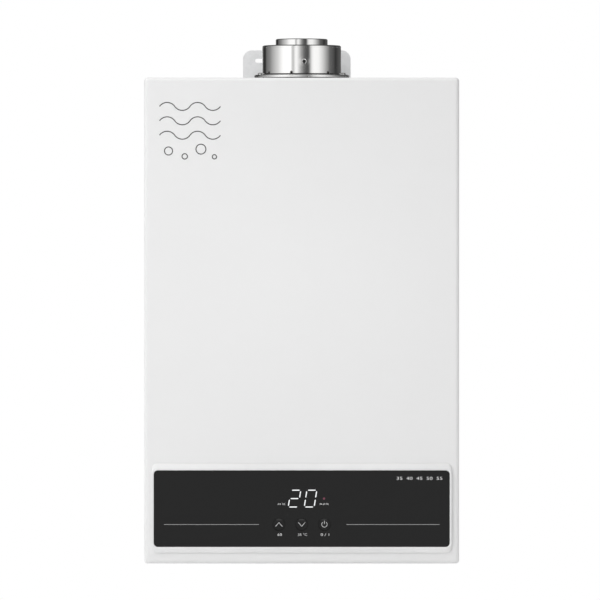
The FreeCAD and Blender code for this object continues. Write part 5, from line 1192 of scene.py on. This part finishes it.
for name, point in (("button_up", 1), ("button_down", -1)):
    key = keys[name]
    bm = bmesh.new()
    tip = (key.x, key.z + point * MARK_HIGH / 2)
    for side in (-1, 1):
        foot = (key.x + side * MARK_HALF, key.z - point * MARK_HIGH / 2)
        stroke(bm, foot, tip, MARK_STROKE, key.y)
    finish_print(name + "_mark", bm, print_grey, name, key)
key = keys["button_power"]
bm = bmesh.new()
arc_stroke(bm, key.xz, POWER_RADIUS, MARK_STROKE, *POWER_ARC, key.y, 32)
stroke(bm, (key.x, key.z + POWER_BAR[0]), (key.x, key.z + POWER_BAR[1]), MARK_STROKE, key.y)
finish_print("button_power_mark", bm, print_grey, "button_power", key)
print("key marks", 3)

# %% [markdown]
# The panel carries plain numbers and signs: the highest and the lowest temperature and off or on
# under the keys, minutes beside the digits, and a scale of temperatures. Text becomes a mesh
# before it gets its place, because it is placed in its own flat frame.

# %% Numbers on the panel
LETTER_THINNED = 0.006


def written(text, height, width, centre_x, centre_z, y):
    """The text as flat faces in a bmesh, scaled to the given height and width."""
    curve = bpy.data.curves.new("numbers", "FONT")
    curve.body = text
    curve.resolution_u = 3
    curve.offset = -LETTER_THINNED
    holder = placed("numbers", curve)
    seen = holder.evaluated_get(bpy.context.evaluated_depsgraph_get())
    mesh = bpy.data.meshes.new_from_object(seen)
    bpy.data.objects.remove(holder)
    bpy.data.curves.remove(curve)
    bm = bmesh.new()
    bm.from_mesh(mesh)
    bpy.data.meshes.remove(mesh)
    low = Vector([min(v.co[i] for v in bm.verts) for i in range(3)])
    high = Vector([max(v.co[i] for v in bm.verts) for i in range(3)])
    size = high - low
    fit = Matrix.Diagonal((width / size.x, height / size.y, 1, 1))
    to_middle = Matrix.Translation(-(low + high) / 2)
    place = Matrix.Translation((centre_x, y, centre_z))
    bmesh.ops.transform(bm, matrix=place @ STAND @ fit @ to_middle, verts=bm.verts)
    return bm


KEY_NUMBER_HIGH = 2.75
SCALE_HIGH = 3.4
LAMP_NUMBER_HIGH = 1.9
KEY_NUMBERS_BELOW = 28.8
SCALE_ABOVE = 33.7
LAMP_NUMBERS_ABOVE = 5.1
# Each row has a name, a text, a width, how far right of and above the panel's middle it stands,
# and a height.
NUMBERS = (
    ("number_up", "60", 4.7, -24.4, -KEY_NUMBERS_BELOW, KEY_NUMBER_HIGH),
    ("number_down", "35 \u00b0C", 10.2, 0.9, -KEY_NUMBERS_BELOW, KEY_NUMBER_HIGH),
    ("number_power", "0 / 1", 9.4, 25.8, -KEY_NUMBERS_BELOW, KEY_NUMBER_HIGH),
    ("scale_numbers", "35  40  45  50  55", 50.6, 130.9, SCALE_ABOVE, SCALE_HIGH),
    ("lamp_numbers_left", "24 36", 8.3, -22.6, LAMP_NUMBERS_ABOVE, LAMP_NUMBER_HIGH),
    ("lamp_numbers_right", "48 60 90", 10.1, 24.8, LAMP_NUMBERS_ABOVE, LAMP_NUMBER_HIGH),
)
for name, text, width, x, above, height in NUMBERS:
    bm = written(text, height, width, x, panel_centre.z + above, glass_low.y)
    finish_print(name, bm, number_grey, "front_cover")
print("numbers", len(NUMBERS))

# %% Lines on the panel
LINES_BELOW = 17.6
LINE_WIDTH = 0.65
LINES_X = ((-152.8, -47.9), (49.9, 152.8))

line_z = panel_centre.z - LINES_BELOW
bm = bmesh.new()
for start, end in LINES_X:
    stroke(bm, (start, line_z), (end, line_z), LINE_WIDTH, glass_low.y)
finish_print("panel_lines", bm, line_grey, "front_cover")
print("lines", len(LINES_X))

# %% [markdown]
# A plain line drawing decorates the upper left of the cover: three waves and a few rings, for
# water and steam. Each wave is a chain of arcs that meet end to end, once above and once below.

# %% Line drawing on the cover
DRAWING_LEFT = -158.0
DRAWING_BELOW = 27.5
WAVE_HALF = 8.46
WAVE_RADIUS = 10.332
WAVE_SUNK = 5.92
WAVE_TOP = 4.5
WAVE_WIDTH = 1.1
WAVE_UPPER = (35, 145)
WAVE_LOWER = (215, 325)
WAVE_ARCS = 4
WAVES = (0.0, -16.0, -32.0)
RINGS = ((-148.0, -54.0, 4.5), (-130.0, -60.0, 3.0), (-112.0, -52.0, 5.5), (-97.0, -60.5, 2.4))

drawing_top = cover_high.z - DRAWING_BELOW

bm = bmesh.new()
for drop in WAVES:
    for k in range(WAVE_ARCS):
        ends, shift = (WAVE_UPPER, -WAVE_SUNK) if k % 2 == 0 else (WAVE_LOWER, WAVE_SUNK)
        centre = (DRAWING_LEFT + WAVE_HALF * (1 + 2 * k), drawing_top - WAVE_TOP + drop + shift)
        arc_stroke(bm, centre, WAVE_RADIUS, WAVE_WIDTH, *ends, cover_low.y, 16)
for x, below, radius in RINGS:
    arc_stroke(bm, (x, drawing_top + below), radius, WAVE_WIDTH, 0, 360, cover_low.y, 32)
finish_print("line_drawing", bm, art_grey, "front_cover")
print("waves", len(WAVES), "rings", len(RINGS))

# %% [markdown]
# The flue's pieces are turned from sheet. The collar has a rolled top edge with a thin line under
# it, a small test hole with a rounded edge in front and a black disc behind it that paints the
# shade seen through the hole, and a row of small dimples at its foot. They are turned profiles,
# with the holes and dimples cut out afterwards. Two thin black rings, shaped as seals, paint the
# dark shadow lines at the collar's foot and under the flange's rim.

# %% Flue flange
flange_low, flange_high = box_mm("flue_flange")
SHEET = 1.0
FLANGE_RADIUS = 53.0
FLANGE_TOP = cover_high.z + 4.8
COLLAR_RADIUS = (collar_high.x - collar_low.x) / 2
COLLAR_WALL = 1.2
NECK_FIT = 0.05
RIM_LIFT = 1.15
HEAD_RADIUS = 3.75
SHANK_RADIUS = 2.0
FLUE_HEAD = 1.9
CROSS_LONG = 2.0
CROSS_WIDE = 0.42
CROSS_DEEP = 1.0
# The two black rings paint the shadow lines under the flange's rim and at the collar's foot.
FLANGE_SHADOW_RING = (FLANGE_RADIUS - 1.4, 0.8)
COLLAR_SHADOW_RING = (COLLAR_RADIUS + 0.05, 0.35)
STEPS = 192

neck = COLLAR_RADIUS - COLLAR_WALL - NECK_FIT
rim_foot = flange_low.z + RIM_LIFT
outline = [(neck - SHEET, FLANGE_TOP - SHEET), (FLANGE_RADIUS - SHEET, FLANGE_TOP - SHEET),
           (FLANGE_RADIUS - SHEET, rim_foot), (FLANGE_RADIUS, rim_foot), (FLANGE_RADIUS, FLANGE_TOP),
           (neck, FLANGE_TOP), (neck, flange_high.z), (neck - SHEET, flange_high.z)]
bm = bmesh.new()
turned(bm, outline, FLUE, {1: 0.5, 4: 1.4}, STEPS)
flange = finish_piece("flue_foot", bm, flange_steel, "chassis", ["flue_flange"], edge=0.15)
screws_low, screws_high = box_mm("flue_screws")
screw_x = screws_high.x - HEAD_RADIUS
screw_y = (screws_high.y - screws_low.y) / 2 - HEAD_RADIUS
flue_screws = [Vector((x, FLUE.y + y, FLANGE_TOP))
               for x in (-screw_x, screw_x) for y in (-screw_y, screw_y)]
bm = bmesh.new()
for place in flue_screws:
    cylinder(bm, place - UP * FLANGE_RADIUS, place + UP, SCREW_HOLE, 32)
cut_away(flange, bm)
# Black rings shaped as seals, which paint the dark shadow lines of the two seams.
bm = bmesh.new()
for (radius, wide), foot in ((FLANGE_SHADOW_RING, flange_low.z), (COLLAR_SHADOW_RING, FLANGE_TOP)):
    outline = [(radius, foot), (radius + wide, foot),
               (radius + wide, foot + RIM_LIFT), (radius, foot + RIM_LIFT)]
    turned(bm, outline, FLUE, {}, STEPS)
finish_piece("flue_shadow_rings", bm, rubber_black, "chassis", edge=0.1)
print("flange radius", FLANGE_RADIUS, "screws at", round(screw_x, 2), round(screw_y, 2))

# %% [markdown]
# A pan-head screw is a turned piece too: a head whose top corner is well rounded, and a shank.
# The cross in its head is two crossed slots, cut out by a boolean.

# %% Screws
HEAD_ROUND = 0.75
SLOT_TURN = 0.3
SCREW_STEPS = 48


def pan_screws(name, body, places, axis, head, shank_end):
    """Screws whose heads stand on the places, along the axis, with the shank the other way."""
    bm = bmesh.new()
    slots = {quarter: bmesh.new() for quarter in (0, 90)}
    for k, place in enumerate(places):
        outline = [(0, -shank_end), (SHANK_RADIUS, -shank_end), (SHANK_RADIUS, 0), (HEAD_RADIUS, 0),
                   (HEAD_RADIUS, head), (0, head)]
        turned(bm, outline, place, {4: head * HEAD_ROUND}, SCREW_STEPS, axis)
        for quarter, slot in slots.items():
            made = cuboid(slot, (-CROSS_LONG, -CROSS_WIDE, head - CROSS_DEEP),
                          (CROSS_LONG, CROSS_WIDE, head + 1))
            turn = Matrix.Rotation(math.radians(quarter) + SLOT_TURN * (k + 1), 4, "Z")
            stand = UP.rotation_difference(axis).to_matrix().to_4x4()
            bmesh.ops.transform(slot, matrix=Matrix.Translation(place) @ stand @ turn, verts=made)
    piece = finish_piece(name + "_cross", bm, screw_steel, body, [name], edge=0.12)
    for slot in slots.values():
        cut_away(piece, slot)
    print(name, "faces", len(piece.data.polygons))


pan_screws("flue_screws", "chassis", flue_screws, UP, FLUE_HEAD, FLANGE_TOP - screws_low.z)
cover_screw_low, cover_screw_high = box_mm("cover_screws")
seat = cover_low.z + POCKET_DEEP
cover_screw_places = [Vector((side * SCREW_PITCH / 2, screw_row_y, seat)) for side in (-1, 1)]
pan_screws("cover_screws", "front_cover", cover_screw_places, -UP, seat - cover_screw_low.z,
           cover_screw_high.z - seat)
print("screws", len(flue_screws) + len(cover_screw_places))

# %% [markdown]
# The collar's steel has two marks. The punched test hole has drawn the wall out a little round
# it, which pinches the reflections there, and each dimple at the foot gets a small dull dark brown
# dot, which paints the shade in its hollow. Both are patterns about a point, on the object's own
# coordinates.

# %% Helpers for marks on the collar
def away_from(material, centre):
    """The distance from a point given in millimetres, in metres."""
    length = add_node(material, "ShaderNodeVectorMath", operation="LENGTH")
    wire(material, place_on(material, shift=-Vector(centre) * MM), length.inputs[0])
    return length.outputs["Value"]


def raised_round(material, centre, reach, height):
    """A low round swelling about a point, for the reflections."""
    swelling = spread(material, away_from(material, centre), 1, 0, 0, reach * MM)
    swelling.node.interpolation_type = "SMOOTHSTEP"
    bumped(material, swelling, 1.0, height * MM)


def dimple_shade_dots(material, centres, radius, colour, roughness):
    """Small dull dots round the points, whose dark colour is painted shade in the dimples."""
    total = None
    for centre in centres:
        spot = spread(material, away_from(material, centre), 1, 0, radius * 0.5 * MM, radius * MM)
        if total is None:
            total = spot
            continue
        most = add_node(material, "ShaderNodeMath", operation="MAXIMUM")
        wire(material, total, most.inputs[0])
        wire(material, spot, most.inputs[1])
        total = most.outputs["Value"]
    shader = shader_of(material)
    colour_between(material, total, shader.inputs["Base Color"].default_value[:3], colour)
    dull = add_node(material, "ShaderNodeMix", data_type="FLOAT")
    wire(material, total, dull.inputs["Factor"])
    wire(material, shader.inputs["Roughness"].links[0].from_socket, dull.inputs["A"])
    dull.inputs["B"].default_value = roughness
    wire(material, dull.outputs["Result"], shader.inputs["Roughness"])


print("collar mark helpers ready")

# %% Flue collar
BEAD = 2.6
LIP = 3.4
GROOVE = 0.3
TEST_TURN = math.radians(3.65)
TEST_HOLE = 1.9
TEST_ROUND = 0.8
TEST_SINK = 0.05
# The black disc behind the test hole paints the shade seen through it.
SHADE_DISC_RADIUS = 3.0
SHADE_DISC_BACK = 1.2
SHADE_DISC_FRONT = 0.1
TEST_SWELL = 7.0
TEST_SWELL_HIGH = 0.12
# The dark dull dots at the dimples paint the shade in their hollows.
DIMPLE_SHADE_RADIUS = 2.2
DIMPLE_SHADE_TINT = (0.05, 0.045, 0.04)
DIMPLE_DULL = 0.5
TEST_RISE = 19.0
DIMPLE_RADIUS = 1.15
DIMPLE_OUT = 0.15
DIMPLE_RISE = 6.9
DIMPLE_TURNS = (-56, -15, 42, 104, 160, 218)

bore = COLLAR_RADIUS - COLLAR_WALL
top = collar_high.z
shoulder = top - BEAD
outline = [(bore, collar_low.z), (COLLAR_RADIUS, collar_low.z), (COLLAR_RADIUS, shoulder - GROOVE),
           (COLLAR_RADIUS - GROOVE / 2, shoulder - GROOVE / 2), (COLLAR_RADIUS, shoulder),
           (COLLAR_RADIUS, top), (COLLAR_RADIUS - LIP, top),
           (COLLAR_RADIUS - LIP, shoulder), (bore, shoulder)]


def flue_out(turn):
    """The way out from the flue's axis, turned from the front to the right."""
    return Vector((math.sin(turn), -math.cos(turn), 0))


out = flue_out(TEST_TURN)
test = FLUE + UP * (cover_high.z + TEST_RISE)
dimple_spots = [FLUE + UP * (cover_high.z + DIMPLE_RISE) + flue_out(math.radians(turn)) * COLLAR_RADIUS
         for turn in DIMPLE_TURNS]
collar_steel = polished_steel("polished_collar_steel", 0.88, 0.075)
raised_round(collar_steel, test + out * COLLAR_RADIUS, TEST_SWELL, TEST_SWELL_HIGH)
# Dark dots at the dimples, painted shade in their hollows.
dimple_shade_dots(collar_steel, dimple_spots, DIMPLE_SHADE_RADIUS, DIMPLE_SHADE_TINT, DIMPLE_DULL)
bm = bmesh.new()
turned(bm, outline, FLUE, {1: 0.35, 5: 1.85, 6: 0.8}, STEPS)
collar = finish_piece("flue_outer_collar", bm, collar_steel, "chassis", ["flue_collar"],
                      edge=0.1)
print("collar", round(COLLAR_RADIUS, 1), "rise", round(top - cover_high.z, 1))

# %% Test hole and dimples
bm = bmesh.new()
outline = [(0, -4), (TEST_HOLE, -4), (TEST_HOLE, 0), (TEST_HOLE + TEST_ROUND, 0),
           (TEST_HOLE + TEST_ROUND, 1), (0, 1)]
turned(bm, outline, test + out * (COLLAR_RADIUS - TEST_SINK), {2: TEST_ROUND * 0.98}, 48, out)
cut_away(collar, bm)
# A black disc inside the collar, behind the test hole, paints the shade seen through the hole.
bm = bmesh.new()
cylinder(bm, test + out * (bore - SHADE_DISC_BACK), test + out * (bore - SHADE_DISC_FRONT), SHADE_DISC_RADIUS)
finish_piece("test_hole_shade_disc", bm, rubber_black, "chassis", edge=0.1)
bm = bmesh.new()
for degrees, dimple_at in zip(DIMPLE_TURNS, dimple_spots):
    made_before = set(bm.verts)
    bmesh.ops.create_uvsphere(bm, u_segments=24, v_segments=12, radius=DIMPLE_RADIUS)
    centre = dimple_at + flue_out(math.radians(degrees)) * DIMPLE_OUT
    bmesh.ops.translate(bm, vec=centre, verts=added(bm, made_before))
cut_away(collar, bm)
print("dimples", len(DIMPLE_TURNS))

# %% Inner flue pipe
pipe_low, pipe_high = box_mm("flue_inner_pipe")
PIPE_WALL = 1.0
PIPE_LIP = 2.6
PIPE_LIP_DEEP = 2.0

pipe_radius = (pipe_high.x - pipe_low.x) / 2
bore = pipe_radius - PIPE_WALL
top = pipe_high.z
outline = [(bore, pipe_low.z), (pipe_radius, pipe_low.z), (pipe_radius, top),
           (pipe_radius - PIPE_LIP, top), (pipe_radius - PIPE_LIP, top - PIPE_LIP_DEEP),
           (bore, top - PIPE_LIP_DEEP)]
bm = bmesh.new()
turned(bm, outline, FLUE, {2: 1.4, 3: 0.6}, STEPS)
finish_piece("flue_inner_stub", bm, pipe_steel, "chassis", ["flue_inner_pipe"],
             edge=0.1)
print("pipe", round(pipe_radius, 1))

# %% [markdown]
# The connections below have real threads. The stub's own mesh is copied, joined up, cut round
# under the nut and drawn in to the root of the thread. The ridge is one small closed profile that
# is spun about the pipe and lifted by its pitch at every turn, which the spin's step vector does.

# %% Threaded stubs
THREAD_PITCH = 1.81
THREAD_ROOT = 9.35
THREAD_CREST = 10.48
THREAD_SUNK = 0.2
THREAD_STEPS = 32
THREAD_START = 0.5
THREAD_TOP = 0.5
THREAD_CUTS = (0.3, 0.6)
THREAD_FLANK = 0.42
COPY_MERGED = 0.001


def merged_copy(node):
    """The frame node's own mesh in millimetres, with its loose triangles joined."""
    bm = bmesh.new()
    bm.from_mesh(frame["nodes"][node].data)
    bmesh.ops.scale(bm, vec=(1 / MM, 1 / MM, 1 / MM), verts=bm.verts)
    bmesh.ops.remove_doubles(bm, verts=bm.verts, dist=COPY_MERGED)
    return bm


def foot_centre(bm):
    """The middle of the lowest edge."""
    foot_z = min(v.co.z for v in bm.verts)
    foot = [v.co for v in bm.verts if v.co.z < foot_z + 0.1]
    return Vector(((min(c.x for c in foot) + max(c.x for c in foot)) / 2,
                   (min(c.y for c in foot) + max(c.y for c in foot)) / 2, foot_z))


nut_low, nut_high = box_mm("stub_nuts")
stub_feet = []
for node in ("hot_outlet_stub", "gas_inlet_stub", "cold_inlet_stub"):
    bm = merged_copy(node)
    foot = foot_centre(bm)
    stub_feet.append(foot)
    for drop in THREAD_CUTS:
        bmesh.ops.bisect_plane(bm, geom=[*bm.verts, *bm.edges, *bm.faces],
                               plane_co=(0, 0, nut_low.z - drop), plane_no=UP)
    for vert in bm.verts:
        aside = Vector((vert.co.x - foot.x, vert.co.y - foot.y))
        if vert.co.z < nut_low.z - THREAD_TOP and aside.length > THREAD_ROOT:
            aside *= THREAD_ROOT / aside.length
            vert.co.x, vert.co.y = foot.x + aside.x, foot.y + aside.y
    before = set(bm.verts)
    ridge = [(THREAD_ROOT - THREAD_SUNK, 0), (THREAD_CREST, THREAD_PITCH * THREAD_FLANK),
             (THREAD_CREST, THREAD_PITCH * (1 - THREAD_FLANK)),
             (THREAD_ROOT - THREAD_SUNK, THREAD_PITCH)]
    row = [bm.verts.new((r, 0, h)) for r, h in ridge]
    first = bm.faces.new(row)
    turns = int((nut_low.z - foot.z - THREAD_START) / THREAD_PITCH) - 1
    bmesh.ops.spin(bm, geom=[first], cent=(0, 0, 0), axis=UP, dvec=(0, 0, THREAD_PITCH / THREAD_STEPS),
                   angle=2 * math.pi * turns, steps=THREAD_STEPS * turns,
                   use_merge=False, use_duplicate=False)
    bmesh.ops.translate(bm, vec=foot + UP * THREAD_START, verts=added(bm, before))
    finish_piece(node + "_threaded", bm, brass, "chassis", [node], edge=0, smooth=35)
print("thread turns", turns, "feet", [tuple(round(v, 1) for v in foot) for foot in stub_feet])

# %% [markdown]
# A nut is a six-sided bar with a bore. A turned tool cuts its lower corners back at a slant, which
# leaves the round chamfer of a real nut. The box round the nuts tells which way their corners point.

# %% Nuts
NUT_CHAMFER = 1.5
NUT_TURN = math.radians(30)
NUT_PLAY = 0.02

stubs_apart = (stub_feet[2] - stub_feet[0]).length
nut_radius = max(nut_high.y - nut_low.y, nut_high.x - nut_low.x - stubs_apart) / 2
turned_nut = (nut_high.y - nut_low.y) / 2 > nut_radius - 0.5
bm = bmesh.new()
for foot in stub_feet:
    made = cylinder(bm, (foot.x, foot.y, nut_low.z), (foot.x, foot.y, nut_high.z), nut_radius, 6)
    if not turned_nut:
        turn = Matrix.Rotation(NUT_TURN, 4, "Z")
        bmesh.ops.transform(bm, matrix=Matrix.Translation(foot) @ turn @ Matrix.Translation(-foot),
                            verts=made)
nuts = finish_piece("hex_nuts", bm, brass, "chassis", ["stub_nuts"], edge=0.3)
bm = bmesh.new()
flat = nut_radius * math.cos(NUT_TURN)
for foot in stub_feet:
    outline = [(flat - 0.2, nut_low.z), (flat - 1.2, nut_low.z - 1), (nut_radius + 3, nut_low.z - 1),
               (nut_radius + 3, nut_low.z + NUT_CHAMFER + 1), (nut_radius, nut_low.z + NUT_CHAMFER)]
    turned(bm, outline, Vector((foot.x, foot.y, 0)), {}, 64)
cut_away(nuts, bm)
bm = bmesh.new()
for foot in stub_feet:
    cylinder(bm, (foot.x, foot.y, nut_low.z - 1), (foot.x, foot.y, nut_high.z + 1),
             THREAD_CREST + NUT_PLAY, 64)
cut_away(nuts, bm)
print("nuts", len(stub_feet), "radius", round(nut_radius, 2))

# %% [markdown]
# With the cover off, two moulded boxes, the back of the display unit and the fan's housing show,
# so they get their small parts. A moulded box is a tray with a slightly smaller lid on it, so the
# seam is a small step. The lid has a row of vents and a screw sunk in each corner.

# %% Moulded boxes
LID_DEEP = 8.0
LID_STEP = 0.7
BOX_CORNER = 3.0
VENT_HIGH = 2.2
VENT_PITCH = 5.5
VENT_DEEP = 3.0
VENT_IN = 11.0
LID_SCREW_IN = 6.5
LID_SCREW = 2.4
LID_SCREW_DEEP = 1.3
LID_SCREW_ROUND = 0.8
LID_SCREW_PLAY = 0.4
LID_SCREW_SUNK = 0.1


def round_box(low, high, corner):
    """A box whose four edges that run from back to front are round."""
    bm = bmesh.new()
    cuboid(bm, low, high)
    along = [e for e in bm.edges if abs(e.verts[0].co.y - e.verts[1].co.y) > 0.1]
    rounded(bm, along, corner, 5, "EDGES")
    return bm


def sunk_screw(bm, place, axis):
    """A round head with its top just under the place."""
    outline = [(0, -LID_SCREW_DEEP), (LID_SCREW, -LID_SCREW_DEEP), (LID_SCREW, -LID_SCREW_SUNK),
               (0, -LID_SCREW_SUNK)]
    turned(bm, outline, place, {2: LID_SCREW_ROUND}, 32, axis)


def moulded_box(node, finish, vents):
    """A tray, a lid with vents and four screws, in the place of a frame node."""
    low, high = box_mm(node)
    seam = low.y + LID_DEEP
    step = Vector((LID_STEP, 0, LID_STEP))
    tray = round_box((low.x, seam, low.z), high, BOX_CORNER)
    finish_piece(node + "_tray", tray, finish, "chassis", [node], edge=0.4)
    lid = round_box(low + step, Vector((high.x, seam, high.z)) - step, BOX_CORNER - LID_STEP)
    lid = finish_piece(node + "_lid", lid, finish, "chassis", edge=0.4)
    cuts = bmesh.new()
    for k in range(vents):
        vent = high.z - 2 * LID_SCREW_IN - VENT_PITCH * k
        cuboid(cuts, (low.x + VENT_IN, low.y - 1, vent - VENT_HIGH),
               (high.x - VENT_IN, low.y + VENT_DEEP, vent))
    heads = bmesh.new()
    for x in (low.x + LID_SCREW_IN, high.x - LID_SCREW_IN):
        for z in (low.z + LID_SCREW_IN, high.z - LID_SCREW_IN):
            cylinder(cuts, (x, low.y - 1, z), (x, low.y + LID_SCREW_DEEP, z),
                     LID_SCREW + LID_SCREW_PLAY, 32)
            sunk_screw(heads, Vector((x, low.y, z)), TO_FRONT)
    cut_away(lid, cuts)
    finish_piece(node + "_lid_screws", heads, screw_steel, "chassis", edge=0)
    print(node, "vents", vents, "faces", len(lid.data.polygons))


moulded_box("controller_box", white_nylon, 9)
moulded_box("igniter_box", black_nylon, 4)

# %% [markdown]
# The tray behind the panel has three low ribs across its back and a boss with a screw near each
# corner. The fan's housing is closed by six screws on a circle round the fan's axis.

# %% Back of the display unit
BACK_SCREW_IN = 9.0
BACK_RIB_HIGH = 0.9
BACK_RIB_WIDE = 1.6
BACK_RIB_ROOT = 0.2
BACK_BOSS = 4.2

back_y = housing_high.y
ribs = bmesh.new()
heads = bmesh.new()
for z in (housing_low.z + 2 * BACK_SCREW_IN, inside_z, housing_high.z - 2 * BACK_SCREW_IN):
    cuboid(ribs, (housing_low.x + BACK_SCREW_IN, back_y - BACK_RIB_ROOT, z - BACK_RIB_WIDE / 2),
           (housing_high.x - BACK_SCREW_IN, back_y + BACK_RIB_HIGH, z + BACK_RIB_WIDE / 2))
for x in (housing_low.x + BACK_SCREW_IN, housing_high.x - BACK_SCREW_IN):
    for z in (housing_low.z + BACK_SCREW_IN, housing_high.z - BACK_SCREW_IN):
        cylinder(ribs, (x, back_y - BACK_RIB_ROOT, z), (x, back_y + BACK_RIB_HIGH, z), BACK_BOSS, 32)
        sunk_screw(heads, Vector((x, back_y + BACK_RIB_HIGH + LID_SCREW_DEEP, z)), -TO_FRONT)
finish_piece("display_housing_ribs", ribs, dark_plastic, "front_cover", edge=0.2)
finish_piece("display_housing_screws", heads, screw_steel, "front_cover", edge=0)
print("back of the display unit at", round(back_y, 1))

# %% Screws on the fan's housing
FAN_FRONT_IN = 3.0
FAN_SCREWS_OUT = 51.0
FAN_SCREW_TURNS = (-75, -15, 45, 135, 195, 255)

fan_low, fan_high = box_mm("fan_impeller")
fan_axis = (fan_low + fan_high) / 2
fan_front = box_mm("fan_housing")[0].y + FAN_FRONT_IN
heads = bmesh.new()
for degrees in FAN_SCREW_TURNS:
    turn = math.radians(degrees)
    place = Vector((fan_axis.x + FAN_SCREWS_OUT * math.cos(turn), fan_front,
                    fan_axis.z + FAN_SCREWS_OUT * math.sin(turn)))
    sunk_screw(heads, place + TO_FRONT * LID_SCREW_DEEP, TO_FRONT)
finish_piece("fan_housing_screws", heads, screw_steel, "chassis", edge=0)
print("fan screws", len(FAN_SCREW_TURNS))
